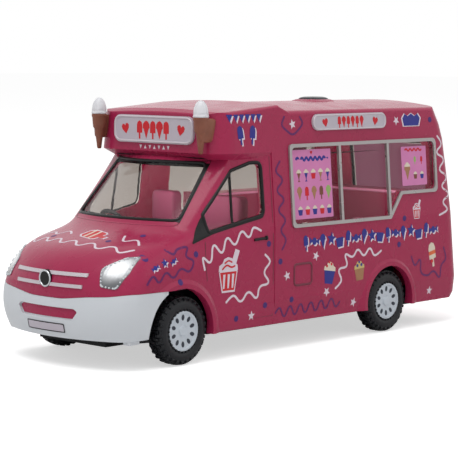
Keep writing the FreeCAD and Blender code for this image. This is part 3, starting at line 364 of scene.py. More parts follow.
INK_WHITE = make_ink("white", (226, 218, 226), (214, 190, 204), scale=700.0)
INK_PURPLE = make_ink("purple", (84, 26, 92), (106, 28, 90))
INK_VIOLET = make_ink("violet", (54, 32, 108), (80, 32, 100))
INK_BLUE = make_ink("blue", (24, 42, 136), (58, 48, 128))
INK_RED = make_ink("red", (206, 26, 38), (186, 24, 40), scale=700.0)
INK_LILAC = make_ink("lilac", (216, 134, 184), (200, 118, 170), scale=500.0)
INK_CREAM = make_ink("cream", (228, 216, 198), (206, 190, 172))
INK_TAN = make_ink("tan", (176, 130, 92), (140, 98, 70), 1200.0)
INK_BROWN = make_ink("brown", (104, 56, 48), (140, 84, 60), scale=1200.0)
INK_GREEN = make_ink("green", (130, 168, 96), (168, 184, 110), scale=1200.0)
INK_YELLOW = make_ink("yellow", (214, 184, 96), (176, 170, 140), scale=1200.0)
INK_ORANGE = make_ink("orange", (222, 116, 60), (206, 84, 60), scale=1200.0)

PANES = "windscreen rear_window door_glass_left door_glass_right servery_glass_left servery_glass_right"
FINISHES = (
    (PINK, "body_shell roof_hatch_kerb rear_step"),
    (WHITE, "front_bumper"),
    (SILVER, "grille_bars"),
    (FRAME_SILVER, "servery_frame_left servery_frame_right"),
    (BLACK, "nose_badge"),
    (LAMP, "headlight_left headlight_right"),
    (GLAZING, PANES),
    (SIGN_WHITE, "front_sign side_sign_left side_sign_right rear_number_plate"),
    (WAFER, "wafer_cone_left wafer_cone_right"),
    (ICE, "ice_cream_left ice_cream_right"),
    (TINT, "roof_hatch_lid"),
    (CHASSIS, "base_plate"),
    (CABIN, "cab_floor servery_floor cab_seats dashboard"),
    (WHEEL_GREY, "steering_wheel"),
    (COUNTER, "servery_counter"),
    (MACHINE, "ice_cream_machine"),
    (RED_LENS, "tail_lamps"),
    (STEEL, "base_screws front_axle rear_axle"),
    (HUB, "front_hub_left front_hub_right rear_hub_left rear_hub_right"),
    (RUBBER, "front_tyre_left front_tyre_right rear_tyre_left rear_tyre_right"),
)
for finish, names in FINISHES:
    for name in names.split():
        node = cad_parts[name]
        node.data.materials.clear()
        node.data.materials.append(finish)


# ---- Work on a piece.
def deselect():
    bpy.ops.object.select_all(action="DESELECT")


def pick(*pieces):
    """Select these pieces alone; the first is the one that is worked on."""
    deselect()
    for piece in pieces:
        piece.select_set(True)
    bpy.context.view_layer.objects.active = pieces[0]


def finish_piece(name, finish, body="van", stands_for=None):
    """Name the piece in hand, paint it, fix it to its body, and let it stand for a node."""
    piece = bpy.context.object
    piece.name = piece.data.name = name
    piece.data.materials.clear()
    piece.data.materials.append(finish)
    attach(piece, body)
    if stands_for:
        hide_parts(stands_for)


def smooth_up_to(degrees):
    """Shade the piece in hand smooth over edges that turn by less."""
    bpy.ops.object.shade_smooth_by_angle(angle=math.radians(degrees))


def set_down(place, size=(1.0, 1.0, 1.0), turn=0.0):
    """Put the piece in hand at a place, with its place in its mesh."""
    piece = bpy.context.object
    piece.location = place
    piece.rotation_euler = (0, 0, turn)
    piece.scale = size
    bpy.ops.object.transform_apply(location=True, rotation=True, scale=True)
    return piece


def apply_modifier(kind, **settings):
    """Add one modifier to the piece in hand and apply it."""
    bpy.ops.object.modifier_add(type=kind)
    modifier = bpy.context.object.modifiers[-1]
    for key, value in settings.items():
        setattr(modifier, key, value)
    bpy.ops.object.modifier_apply(modifier=modifier.name)


@contextlib.contextmanager
def edit_mode(whole=True):
    """Edit mode on the mesh in hand, with all of it selected or the faces chosen beforehand."""
    bpy.ops.object.mode_set(mode="EDIT")
    if whole:
        bpy.ops.mesh.select_all(action="SELECT")
    else:
        bpy.ops.mesh.select_mode(type="FACE")
    yield
    bpy.ops.object.mode_set(mode="OBJECT")


def new_object(name, data):
    """A new object, as the piece in hand."""
    piece = bpy.data.objects.new(name, data)
    bpy.context.scene.collection.objects.link(piece)
    pick(piece)
    return piece


def make_round(radius):
    """Turn the curve in hand into a round strip."""
    curve = bpy.context.object.data
    curve.bevel_depth = radius * MM
    curve.bevel_resolution = 2
    curve.use_fill_caps = True
    bpy.ops.object.convert(target="MESH")


def merged_copy(name, fatten=0.0):
    """A closed copy of a node, grown by a little, that prints and seals are laid on."""
    copy = new_object(name + "_copy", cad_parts[name].data.copy())
    with edit_mode():
        bpy.ops.mesh.remove_doubles(threshold=1e-6)
        bpy.ops.transform.shrink_fatten(value=-fatten)
    return copy


GLASS_RECESS = 0.15 * MM


def copy_van():
    """One skin of the shell and its panes, each pane brought out to the shell."""
    pick(merged_copy("body_shell"), *[merged_copy(pane, GLASS_RECESS) for pane in PANES.split()])
    bpy.ops.object.join()
    return bpy.context.object


SKINS = {"van": copy_van()}


def skin_of(name):
    """What prints on a node are laid on, made once."""
    if name not in SKINS:
        SKINS[name] = merged_copy(name)
    return SKINS[name]


# ---- Drawing boards.  A board is a plane outside the van; u runs to the right, v up, w outwards.
# Shapes are drawn on it in millimetres and then laid on what is below.
def board(origin, across, up):
    across, up = Vector(across).normalized(), Vector(up).normalized()
    turn = Matrix((across, up, across.cross(up))).transposed().to_4x4()
    return Matrix.Translation(Vector(origin)) @ turn


SIDE_BOARD = 17 * MM  # how far a board stands from the middle of the van, or from its nose or tail
END_BOARD = 3 * MM
BOARDS = {
    "left": board((AXLE_X, SIDE_BOARD, 0), (-1, 0, 0), (0, 0, 1)),
    "right": board((AXLE_X, -SIDE_BOARD, 0), (1, 0, 0), (0, 0, 1)),
    "front": board((NOSE_X + END_BOARD, 0, 0), (0, 1, 0), (0, 0, 1)),
    "back": board((TAIL_X - END_BOARD, 0, 0), (0, -1, 0), (0, 0, 1)),
    "bonnet": board((AXLE_X + 5 * MM, 0, 24 * MM), (0, 1, 0), (-0.94, 0, 0.34)),
}


def on_side(side, loops):
    """Loops drawn for the left side, turned over for the right."""
    if side == "left":
        return loops
    return [[(-u, v) for u, v in reversed(loop)] for loop in loops]


def flat_curve(place, loops, closed=True, fill="BOTH"):
    """Loops drawn on a board as one flat curve, made a mesh."""
    data = bpy.data.curves.new("drawing", "CURVE")
    data.dimensions = "2D"
    data.fill_mode = fill
    for loop in loops:
        spline = data.splines.new("POLY")
        spline.points.add(len(loop) - 1)
        for point, (u, v) in zip(spline.points, loop):
            point.co = (u, v, 0, 1)
        spline.use_cyclic_u = closed
    new_object("drawing", data)
    bpy.ops.object.convert(target="MESH")
    drawing = bpy.context.object
    drawing.scale = (MM, MM, MM)
    bpy.ops.object.transform_apply(location=False, rotation=False, scale=True)
    drawing.matrix_world = BOARDS[place]


def cut_on_grid(step):
    """Cut the flat drawing in hand along a grid, so that it can follow a curved surface."""
    world, mesh = bpy.context.object.matrix_world, bpy.context.object.data
    with edit_mode():
        for axis in (0, 1):
            values = [vertex.co[axis] for vertex in mesh.vertices]
            low, high = min(values), max(values)
            for number in range(1, int((high - low) / step) + 1):
                bpy.ops.mesh.select_all(action="SELECT")
                point, normal = Vector(), Vector()
                point[axis] = low + number * step
                normal[axis] = 1.0
                bpy.ops.mesh.bisect(plane_co=world @ point, plane_no=world.to_3x3() @ normal, threshold=1e-8)


def lay_down(target, lift):
    """Drop the drawing in hand onto a surface, to stand off it by the lift."""
    apply_modifier("SHRINKWRAP", wrap_method="PROJECT", target=target, use_project_z=True,
                   use_negative_direction=True, use_positive_direction=False, offset=lift)
    bpy.ops.object.transform_apply(location=True, rotation=True, scale=True)


FILM = 0.012 * MM
FIRST_GAP = 0.6  # between the surface and the lowest film, in films


def print_on(name, place, loops, finish, layer=1, grid=None, target="van", body="van"):
    """A film of ink in the shape of the loops, on the van's skin or on a node."""
    skin = skin_of(target)
    flat_curve(place, loops)
    with edit_mode():
        bpy.ops.mesh.remove_doubles(threshold=1e-7)
    if grid:
        cut_on_grid(grid * MM)
    lay_down(skin, (layer + FIRST_GAP) * FILM)
    apply_modifier("SOLIDIFY", thickness=FILM, offset=-1.0)
    finish_piece(name, finish, body)


def print_table(rows, side, grid=None, target="van"):
    """Prints for one side of the van, from rows of name, ink, layer and loops."""
    for name, ink, layer, loops in rows:
        print_on("%s_%s" % (name, side), side, on_side(side, loops), ink, layer, grid, target)


def bead(name, place, loops, finish, radius, sink, closed=True, target="van"):
    """A round strip laid along the loops, sunk by a part of its radius, in millimetres."""
    skin = skin_of(target)
    flat_curve(place, loops, closed, fill="NONE")
    lay_down(skin, -sink * MM)
    bpy.ops.object.convert(target="CURVE")
    make_round(radius)
    finish_piece(name, finish)
    smooth_up_to(50)


# ---- Shapes on a board: each is a list of (u, v) points, in millimetres.
def circle(u, v, radius, count=20):
    return [(u + radius * math.cos(2 * math.pi * n / count), v + radius * math.sin(2 * math.pi * n / count))
            for n in range(count)]


STAR_WAIST = 0.44  # how far out the inner points are, as a part of the outer ones


def star(u, v, radius, turn=0.0):
    loop = []
    for n in range(10):
        reach = radius if n % 2 == 0 else radius * STAR_WAIST
        angle = math.pi / 2 + turn + math.pi * n / 5
        loop.append((u + reach * math.cos(angle), v + reach * math.sin(angle)))
    return loop


def moved(loop, u, v, size=1.0, turn=0.0):
    """A shape set down at a place, at a size and turned."""
    c, s = math.cos(turn), math.sin(turn)
    return [(u + size * (a * c - b * s), v + size * (a * s + b * c)) for a, b in loop]


BEND_FULLNESS = 0.13  # how far a flowing line is spread at each point, as a part of its neighbours' gap
END_REACH = 0.8  # how far a painted line's end reaches, as a part of half its width


def bend(start, corner, end, t):
    """A point part of the way round a bend that a corner pulls out."""
    return (1 - t) ** 2 * start + 2 * t * (1 - t) * corner + t * t * end


def smooth_line(points, steps=3):
    """A flowing line with full, round bends at the points."""
    spread = [Vector(points[0])]
    for before, here, after in zip(points, points[1:], points[2:]):
        way = (Vector(after) - Vector(before)) * BEND_FULLNESS
        spread += [Vector(here) - way, Vector(here) + way]
    spread.append(Vector(points[-1]))
    line = [tuple(spread[0])]
    for before, here, after in zip(spread, spread[1:], spread[2:]):
        start = before if before is spread[0] else (before + here) / 2
        end = after if after is spread[-1] else (here + after) / 2
        line += [tuple(bend(start, here, end, step / steps)) for step in range(1, steps + 1)]
    return line


def ribbon(points, width):
    """The outline of a painted line of even width with blunt points at its ends."""
    line = [Vector(point) for point in smooth_line(points)]
    half = width / 2
    left, right = [], []
    for n, point in enumerate(line):
        way = (line[min(n + 1, len(line) - 1)] - line[max(n - 1, 0)]).normalized()
        across = Vector((-way.y, way.x)) * half
        left.append(tuple(point + across))
        right.append(tuple(point - across))
    way_in = (line[1] - line[0]).normalized() * half * END_REACH
    way_out = (line[-1] - line[-2]).normalized() * half * END_REACH
    return [tuple(line[0] - way_in)] + right + [tuple(line[-1] + way_out)] + left[::-1]


def wave(start, end, waves, height):
    """The turning points of a wavy line from start to end."""
    start, end = Vector(start), Vector(end)
    way = end - start
    across = Vector((-way.y, way.x)).normalized() * height / 2
    points = [tuple(start)]
    for n in range(2 * waves):
        swing = across if n % 2 == 0 else -across
        points.append(tuple(start + way * (n + 0.75) / (2 * waves + 0.5) + swing))
    return points + [tuple(end)]


def cut_run(start, end, step):
    """The points between two others that cut a straight run into short pieces."""
    start = Vector(start)
    run = Vector(end) - start
    pieces = max(1, int(run.length / step))
    return [tuple(start + run * (k / pieces)) for k in range(1, pieces)]


def rounded(corners, step=0.45):
    """A closed outline with round corners, cut into short runs."""
    loop = []
    count = len(corners)
    for n, (u, v, radius) in enumerate(corners):
        here = Vector((u, v))
        before = Vector(corners[n - 1][:2])
        after = Vector(corners[(n + 1) % count][:2])
        way_in, way_out = (before - here).normalized(), (after - here).normalized()
        half_angle = way_in.angle(way_out) / 2
        reach = radius / math.tan(half_angle)
        start, end = here + way_in * reach, here + way_out * reach
        arc = [bend(start, here, end, k / 4) for k in range(5)]
        if loop:
            loop += cut_run(loop[-1], arc[0], step)
        loop += [tuple(point) for point in arc]
    return loop + cut_run(loop[-1], loop[0], step)


def oblong(u, v, half_width, half_height, radius):
    """A rectangle with round corners about its middle."""
    return rounded([(u + across * half_width, v + rise * half_height, radius)
                    for across, rise in ((-1, -1), (1, -1), (1, 1), (-1, 1))])


def both_halves(right):
    """A shape from its right half, which starts and ends on the middle line."""
    return right + [(-u, v) for u, v in reversed(right[1:-1])]


def run_of_dots(radius, *places):
    """Small dots of one size."""
    return [circle(u, v, radius, 10) for u, v in places]


# ---- Rubber seals, handles, panel lines and the filler flap.
NOSE_TO_AXLE = (NOSE_X - AXLE_X) / MM
DOOR_EDGE = ((14.6, 15.85, 0.2), (18.7, 17.02, 1.0), (28.75, 18.65, 1.0), (28.7, 26.4, 0.8),
             (26.7, 26.4, 1.5), (23.2, 25.42, 0.7), (17.0, 19.0, 0.4))
DOOR_PANE = ((17.95, 17.22, 0.3), (28.65, 18.95, 1.0), (28.65, 26.2, 0.9), (26.7, 26.15, 1.5),
             (23.25, 25.2, 0.6), (17.6, 19.55, 0.4))
# The surround's top edge reaches up to 26.9: partly the seal, partly painted shadow under the roof pod's lip.
WINDSCREEN_EDGE = ((-10.1, 18.15, 0.7), (10.1, 18.15, 0.7), (9.0, 26.9, 0.9), (-9.0, 26.9, 0.9))
WINDSCREEN_PANE = ((-9.75, 18.78, 0.7), (9.75, 18.78, 0.7), (8.65, 26.12, 0.9), (-8.65, 26.12, 0.9))
REAR_PANE = oblong(0, 23.5, 7.45, 4.15, 0.9)
DOOR_LINE = ((3.9, 16.0), (3.75, 13.0), (4.0, 10.9))
DOOR_BACK_LINE = ((16.9, 26.9), (17.0, 16.0), (17.0, 5.0))
SILL_LINE = ((17.0, 5.0), (13.0, 4.95), (8.6, 4.9))
FLAP = oblong(23.15, 10.275, 1.85, 1.475, 0.55)
REAR_DOOR = ((-8.2, 6.9, 0.8), (8.2, 6.9, 0.8), (8.2, 28.9, 1.2), (-8.2, 28.9, 1.2))


def behind_axle(corners):
    """An outline from corners given from the nose, at its place behind the front axle."""
    return rounded([(u - NOSE_TO_AXLE, v, radius) for u, v, radius in corners])


def make_seals():
    bead("windscreen_seal", "front", [rounded(WINDSCREEN_PANE)], BLACK, 0.26, 0.12)
    print_on("windscreen_surround", "front", [rounded(WINDSCREEN_EDGE), rounded(WINDSCREEN_PANE)], BLACK, 3)
    # Black across the top of the windscreen: the seal, and painted shadow under the roof pod's lip.
    band = [(-8.75, 25.6), (8.75, 25.6), (8.55, 26.4), (-8.55, 26.4)]
    print_on("windscreen_seal_and_painted_shadow", "front", [band], BLACK, grid=1.5)
    bead("rear_window_seal", "back", [REAR_PANE], BLACK, 0.36, 0.2)
    pane = behind_axle(DOOR_PANE)
    bar = [(22.9 - NOSE_TO_AXLE + 0.02 * n, 18.0 + 0.45 * n) for n in range(16)]
    for side, _ in SIDES:
        bead("door_seal_" + side, side, on_side(side, [pane]), BLACK, 0.27, 0.1)
        print_table((("door_surround", BLACK, 3, [behind_axle(DOOR_EDGE), pane]),), side, 1.0)
        bead("door_divider_" + side, side, on_side(side, [bar]), BLACK, 0.22, 0.1, closed=False)


def make_handles_and_lines():
    grip = [(13.2 + 0.3 * n, 15.72 + 0.015 * n) for n in range(9)]
    lock = [(15.45, 15.84), (15.6, 15.85), (15.75, 15.86)]
    lines = [ribbon(points, 0.13) for points in (DOOR_LINE, DOOR_BACK_LINE, SILL_LINE)]
    for side, _ in SIDES:
        bead("door_handle_" + side, side, on_side(side, [grip]), BLACK, 0.2, -0.02, closed=False)
        bead("door_lock_" + side, side, on_side(side, [lock]), BLACK, 0.36, 0.08, closed=False)
        print_table((("door_line", SHADOW_PINK, 1, lines),), side)
    bead("filler_flap_edge", "left", [FLAP], SHADOW_PINK, 0.2, 0.08)
    bead("rear_door_edge", "back", [rounded(REAR_DOOR)], SHADOW_PINK, 0.1, 0.05)
    bead("rear_door_handle", "back", [[(-5.6 + 0.3 * n, 15.2) for n in range(8)]], BLACK, 0.24, -0.02,
         closed=False)


# ---- Printed sweets.  Each is drawn about (0, 0) to a height of about 2.
LOLLY = [(-0.42, -0.35), (-0.12, -0.35), (-0.12, -1.0), (0.12, -1.0), (0.12, -0.35), (0.42, -0.35),
         (0.42, 0.55), (0.3, 0.85), (0.0, 1.0), (-0.3, 0.85), (-0.42, 0.55)]
CORNET = both_halves([(0.0, -1.0), (0.4, 0.1), (0.55, 0.2), (0.5, 0.62), (0.25, 0.9), (0.0, 1.0)])
WRAPPED = [(-0.45, 0.12), (-1.0, 0.45), (-0.9, 0.0), (-1.0, -0.45), (-0.45, -0.12), (-0.25, -0.42),
           (0.0, -0.5), (0.25, -0.42), (0.45, -0.12), (1.0, -0.45), (0.9, 0.0), (1.0, 0.45), (0.45, 0.12),
           (0.25, 0.42), (0.0, 0.5), (-0.25, 0.42)]
TUB = [(-0.55, -1.0), (0.55, -1.0), (0.8, 0.25), (-0.8, 0.25)]
MOUND = [(-0.85, 0.25), (0.85, 0.25), (0.8, 0.6), (0.5, 0.75), (0.35, 1.0), (0.0, 1.1), (-0.35, 1.0),
         (-0.5, 0.75), (-0.8, 0.6)]
GLASS_CUP = [(-0.3, -1.0), (0.3, -1.0), (0.08, -0.8), (0.08, -0.55), (0.42, 0.4), (-0.42, 0.4),
             (-0.08, -0.55), (-0.08, -0.8)]
PENNANT = [(-0.45, 0.45), (0.0, -0.5), (0.45, 0.45)]
HEART = both_halves([(0.0, -0.9), (0.75, -0.05), (0.85, 0.45), (0.55, 0.8), (0.2, 0.75), (0.0, 0.45)])

WHITE_LINES = (
    ((3.5, 12.4), (3.2, 14.0), (4.6, 13.4), (5.4, 15.5), (6.9, 14.5), (8.0, 16.3), (9.5, 15.4), (10.8, 17.0),
     (12.2, 16.2), (13.2, 17.4), (14.6, 16.9)),
    ((15.3, 13.6), (16.3, 12.6), (15.2, 11.2), (16.0, 9.7), (14.3, 9.2), (13.6, 7.8), (12.0, 8.7),
     (10.5, 7.6), (9.0, 8.5), (7.6, 7.7)),
    ((30.2, 7.6), (31.5, 8.6), (31.0, 10.2), (32.7, 10.7), (32.4, 12.3), (34.0, 11.9), (35.2, 12.8),
     (36.6, 11.9), (37.9, 12.8), (39.1, 11.7), (40.6, 12.3)),
    ((54.9, 28.7), (55.9, 27.5), (54.7, 26.2), (56.3, 25.1), (55.2, 23.6), (56.9, 22.4), (55.6, 21.0),
     (57.3, 19.8), (55.7, 18.7), (56.6, 17.4), (54.6, 16.7)),
)
PURPLE_LINES = (
    ((-7.0, 11.3), (-6.0, 12.3), (-4.9, 11.5), (-3.7, 12.6), (-2.3, 11.9), (-1.0, 12.9), (0.6, 12.5),
     (1.4, 13.7), (0.2, 14.5), (0.5, 15.6), (-1.1, 15.5), (-2.1, 14.9), (-3.1, 15.5)),
    ((18.9, 26.2), (18.0, 24.9), (19.2, 23.6), (18.1, 22.2), (19.3, 20.9), (18.2, 19.5), (19.4, 18.1),
     (18.5, 16.7), (19.5, 15.3), (18.7, 14.0)),
    tuple(wave((17.6, 5.25), (31.4, 5.6), 6, 1.3)),
    ((47.8, 10.9), (48.7, 9.5), (50.0, 10.2), (50.3, 8.3), (51.8, 7.7), (53.4, 8.2), (54.9, 7.2), (55.3, 8.9),
     (56.4, 10.0), (55.8, 11.7)),
    ((20.3, 32.3), (19.7, 31.2), (20.7, 30.3), (21.9, 29.8), (23.1, 30.4), (24.0, 31.3), (23.5, 32.2)),
)
STARS = ((12.7, 5.4), (19.8, 10.3), (28.3, 7.3), (34.5, 5.2), (52.6, 5.3), (21.9, 31.2), (45.1, 31.2),
         (25.9, 12.6))
DOTS = ((2.0, 14.6), (16.1, 15.0), (18.4, 12.4), (9.7, 5.3), (15.4, 6.6), (20.8, 6.9), (46.0, 16.7),
        (53.3, 31.2), (-6.3, 14.6), (44.8, 12.9), (-1.2, 11.2))


def sweet_row(first, last, middle, size, count):
    """A run of sweets, each of another kind than its neighbours."""
    kinds = (LOLLY, WRAPPED, CORNET, [(u, v + 0.1) for u, v in star(0, 0, 0.92)], TUB)
    row = []
    for n in range(count):
        u = first + (last - first) * n / (count - 1)
        row.append(moved(kinds[n % len(kinds)], u, middle + 0.12 * (n % 2), size, 0.1 * (-1) ** n))
    return row


def shifted(loops, across=0.24, down=0.2):
    """The pale edge that shows beside and below a darker print."""
    return [[(u + across, v - down) for u, v in loop] for loop in loops]


def sundae(number, u, v, size):
    """A tub of ice cream with a wafer, as rows of prints from the lowest layer up."""
    wafer = [(0.15, 0.5), (0.75, 1.75), (1.15, 1.6), (0.6, 0.4)]
    stripes = [[(way - 0.09, -0.85), (way + 0.06, -0.85), (way + 0.16, 0.1), (way - 0.06, 0.1)]
               for way in (-0.45, -0.02, 0.4)]
    swirls = [ribbon(((-0.6, 0.45), (-0.2, 0.7), (0.3, 0.55), (0.62, 0.62)), 0.12),
              ribbon(((-0.36, 0.85), (0.0, 1.0), (0.34, 0.88)), 0.11)]
    layers = (
        ("wafer", INK_WHITE, [moved(wafer, u, v, size)]),
        ("outline", INK_WHITE, [moved(TUB, u, v, size * 1.13), moved(MOUND, u, v + 0.04 * size, size * 1.1)]),
        ("tub", INK_RED, [moved(TUB, u, v, size)]),
        ("cream", INK_WHITE, [moved(MOUND, u, v, size)]),
        ("stripes", INK_WHITE, [moved(loop, u, v, size) for loop in stripes]),
        ("swirls", INK_RED, [moved(loop, u, v, size) for loop in swirls]),
    )
    return [("red_sundae_%d_%s" % (number, label), ink, layer, loops)
            for layer, (label, ink, loops) in enumerate(layers, start=1)]


SWEETS = sweet_row(23.7, 53.1, 14.6, 1.08, 17)
BUNTING = [moved(PENNANT, 9.3 + 1.15 * n, 32.25, 1.1) for n in range(6)]
LOLLIES = [moved(LOLLY, 11.2, 29.95, 1.3, 0.12), moved(LOLLY, 13.6, 29.95, 1.3, -0.12)]
WING_SWEETS = [moved(WRAPPED, -5.4, 13.35, 0.62, 0.4), moved(star(0, 0, 1.0), -3.8, 13.9, 0.6),
               moved(WRAPPED, -2.2, 14.0, 0.62, 0.5)]
SLAB = [(-1.8, -0.9), (1.7, -0.9), (2.1, 0.2), (1.5, 0.85), (0.8, 0.5), (0.0, 0.9), (-0.8, 0.5), (-1.5, 0.85),
        (-2.1, 0.2)]
STRIPE = [(-0.42, 0.0), (0.42, 0.0), (0.42, 0.3), (-0.42, 0.3)]
SIDE_PRINTS = (
    ("white_lines", INK_WHITE, 1, [ribbon(line, 0.32) for line in WHITE_LINES]),
    ("purple_lines", INK_PURPLE, 1, [ribbon(line, 0.3) for line in PURPLE_LINES]),
    ("white_stars", INK_WHITE, 1, [star(u, v, 0.72, 0.3 * n) for n, (u, v) in enumerate(STARS)]),
    ("blue_dots", INK_VIOLET, 1, [circle(u, v, 0.42) for u, v in DOTS]),
    ("pale_edges", INK_WHITE, 1, shifted(SWEETS + BUNTING + LOLLIES) + shifted(WING_SWEETS, 0.16, 0.16)
     + [moved(SLAB, 48.7, 31.3, 1.14)]),
    ("blue_sweets", INK_BLUE, 2, SWEETS + BUNTING + LOLLIES + WING_SWEETS + [moved(SLAB, 48.7, 31.3)]),
    *sundae(1, 8.0, 11.3, 2.0),
    *sundae(2, 49.0, 17.6, 1.0),
    ("blue_tub", INK_BLUE, 1, [moved(TUB, 28.9, 9.9, 1.5, -0.15)]),
    ("blue_tub_cream", INK_CREAM, 2, [moved(MOUND, 28.85, 9.9, 1.5, -0.15)]),
    ("wafer_tub", INK_TAN, 1, [moved(TUB, 35.6, 9.7, 1.35, 0.08)]),
    ("wafer_tub_cream", INK_YELLOW, 2, [moved(MOUND, 35.6, 9.7, 1.35, 0.08)]),
    ("sprinkles", INK_RED, 3, run_of_dots(0.22, (28.3, 11.0), (29.3, 11.2)) + run_of_dots(0.2, (28.8, 11.5))
     + run_of_dots(0.3, (52.9, 9.8))),
    ("blue_sprinkles", INK_BLUE, 3, run_of_dots(0.24, (35.1, 10.5), (36.0, 10.6))
     + run_of_dots(0.2, (35.5, 11.0))),
    ("pale_lolly", INK_CREAM, 1, [moved(LOLLY, 53.0, 10.8, 1.9, 0.2)]),
    ("lolly_stripe", INK_ORANGE, 2, [moved(STRIPE, 53.0, 10.8, 1.9, 0.2)]),
)

BONNET_LINES = (
    ((-9.6, -4.3), (-8.4, -5.4), (-7.0, -4.2), (-5.4, -5.6), (-3.8, -4.6), (-2.2, -6.0), (-0.4, -5.0),
     (1.4, -6.3), (3.2, -5.1), (5.0, -6.2), (6.8, -4.9), (8.6, -5.7), (9.8, -4.2)),
    ((9.4, -2.9), (7.9, -1.7), (6.5, -2.8), (5.2, -1.2)),
    ((-9.7, -2.7), (-8.2, -1.7), (-6.7, -2.7), (-5.3, -1.5), (-3.9, -2.6)),
)
BONNET_BAR = [(-0.55, -0.9), (-0.2, -0.9), (-0.2, -1.5), (0.2, -1.5), (0.2, -0.9), (0.55, -0.9), (0.7, -0.6),
              (0.7, 0.7), (0.4, 1.15), (-0.4, 1.15), (-0.7, 0.7), (-0.7, -0.6)]
BONNET_BANDS = [[(-0.7, v), (0.7, v + 0.3), (0.7, v + 0.55), (-0.7, v + 0.25)] for v in (-0.4, 0.3)]


def make_front_prints():
    def on_bonnet(name, ink, layer, loops):
        print_on("bonnet_" + name, "bonnet", loops, ink, layer, 0.9)

    def bar(loop, size):
        return moved(loop, 0.4, -2.3, size, 1.35)

    on_bonnet("lines", INK_WHITE, 1, [ribbon(line, 0.32) for line in BONNET_LINES])
    on_bonnet("lolly_edge", INK_WHITE, 1, [bar(BONNET_BAR, 2.05)])
    on_bonnet("lolly", INK_RED, 2, [bar(BONNET_BAR, 1.75)])
    on_bonnet("lolly_bands", INK_CREAM, 3, [bar(band, 1.75) for band in BONNET_BANDS])
    on_bonnet("dots", INK_VIOLET, 1, [circle(u, v, 0.4) for u, v in ((4.6, -3.7), (-6.4, -3.6), (7.4, -0.1))])
    marks = [moved(PENNANT, -2.7 + 0.9 * n, 28.05, 0.55, math.pi * (n % 2)) for n in range(7)]
    print_on("brow_marks", "front", marks, INK_WHITE)


def row_of_ices(first, step, count, v, size):
    """Lollies and cornets by turns, for a sign."""
    return [moved(CORNET if n % 2 else LOLLY, first + step * n, v, size) for n in range(count)]


def make_sign_prints():
    hearts = [moved(HEART, -5.4, 30.5, 0.85, 0.2), moved(HEART, 5.4, 30.5, 0.85, -0.2)]
    ices = row_of_ices(-2.6, 1.3, 5, 30.4, 1.25)
    print_on("front_sign_marks", "front", ices + hearts, INK_RED, target="front_sign")
    bead("front_sign_rim", "front", [oblong(0, 30.5, 7.5, 1.68, 1.15)], SILVER, 0.17, 0.06,
         target="front_sign")
    hearts = [moved(HEART, 28.6, 31.3, 0.7, 0.2), moved(HEART, 39.8, 31.3, 0.7, -0.2)]
    ices = row_of_ices(31.7, 1.0, 6, 31.3, 0.84)
    rim = oblong(34.2, 31.33, 8.0, 0.98, 0.95)
    for side, _ in SIDES:
        sign = "side_sign_" + side
        print_table((("side_sign_marks", INK_RED, 1, ices + hearts),), side, target=sign)
        bead("side_sign_rim_" + side, side, on_side(side, [rim]), SILVER, 0.13, 0.05, target=sign)


CUPS = [22.85 + 1.55 * n for n in range(5)]
MENU_PRINTS = (
    ("menu_card", INK_LILAC, 1, [oblong(25.75, 22.775, 4.15, 4.825, 0.15)]),
    ("menu_blue", INK_BLUE, 2, [ribbon(wave((22.4, 26.3), (29.2, 26.3), 7, 0.4), 0.36)]
     + [moved(GLASS_CUP, CUPS[n], 24.1, 0.95) for n in (1, 4)]
     + [moved(TUB, CUPS[n], 19.1, 0.62) for n in (0, 2, 4)]),
    ("menu_red", INK_RED, 2, [moved(HEART, 25.7, 27.15, 0.3), moved(TUB, CUPS[2], 24.1, 0.62),
                              moved(LOLLY, CUPS[1], 21.5, 0.95), moved(TUB, CUPS[1], 19.1, 0.62),
                              moved(TUB, CUPS[3], 19.1, 0.62)]),
    ("menu_tan", INK_TAN, 2, [moved(CORNET, CUPS[0], 21.5, 1.0), moved(CORNET, CUPS[2], 21.5, 1.0),
                              moved(GLASS_CUP, CUPS[3], 24.1, 0.95)]),
    ("menu_brown", INK_BROWN, 2, [moved(GLASS_CUP, CUPS[0], 24.1, 0.95), moved(LOLLY, CUPS[3], 21.5, 0.95)]),
    ("menu_green", INK_GREEN, 2, [moved(CORNET, CUPS[4], 21.5, 1.0)]),
    ("menu_cream", INK_CREAM, 3, [moved(MOUND, u, 24.2, 0.62) for u in CUPS]
     + [moved(MOUND, u, 19.15, 0.55) for u in CUPS]),
)
PRICE_PRINTS = (
    ("price_card", INK_LILAC, 1, [oblong(49.1, 24.4, 3.0, 2.9, 0.15)]),
    ("price_blue", INK_BLUE, 2, [moved(TUB, 50.9, 23.0, 0.55)]),
    ("price_red", INK_RED, 2, [ribbon(wave((47.0, 26.8), (51.0, 26.8), 4, 0.3), 0.26),
                               moved(LOLLY, 50.9, 25.2, 0.6)]),
    ("price_tan", INK_TAN, 2, [moved(CORNET, 47.4, 23.6, 1.3)]),
    ("price_brown", INK_BROWN, 2, [moved(TUB, 49.3, 23.0, 0.55)]),
    ("price_green", INK_GREEN, 2, [moved(LOLLY, 49.3, 25.2, 0.6)]),
    ("price_cream", INK_CREAM, 3, [moved(MOUND, 47.4, 24.1, 0.8), moved(MOUND, 49.3, 23.0, 0.5),
                                   moved(MOUND, 50.9, 23.0, 0.5)]),
)

BACK_LINES = (
    tuple(wave((-6.6, 17.2), (6.6, 17.2), 5, 1.1)),
    ((-9.6, 14.2), (-8.9, 16.0), (-10.2, 17.6), (-9.0, 19.2), (-10.0, 21.0), (-9.1, 22.8), (-9.9, 24.4)),
    ((9.6, 14.2), (8.9, 16.0), (10.2, 17.6), (9.0, 19.2), (10.0, 21.0), (9.1, 22.8), (9.9, 24.4)),
)


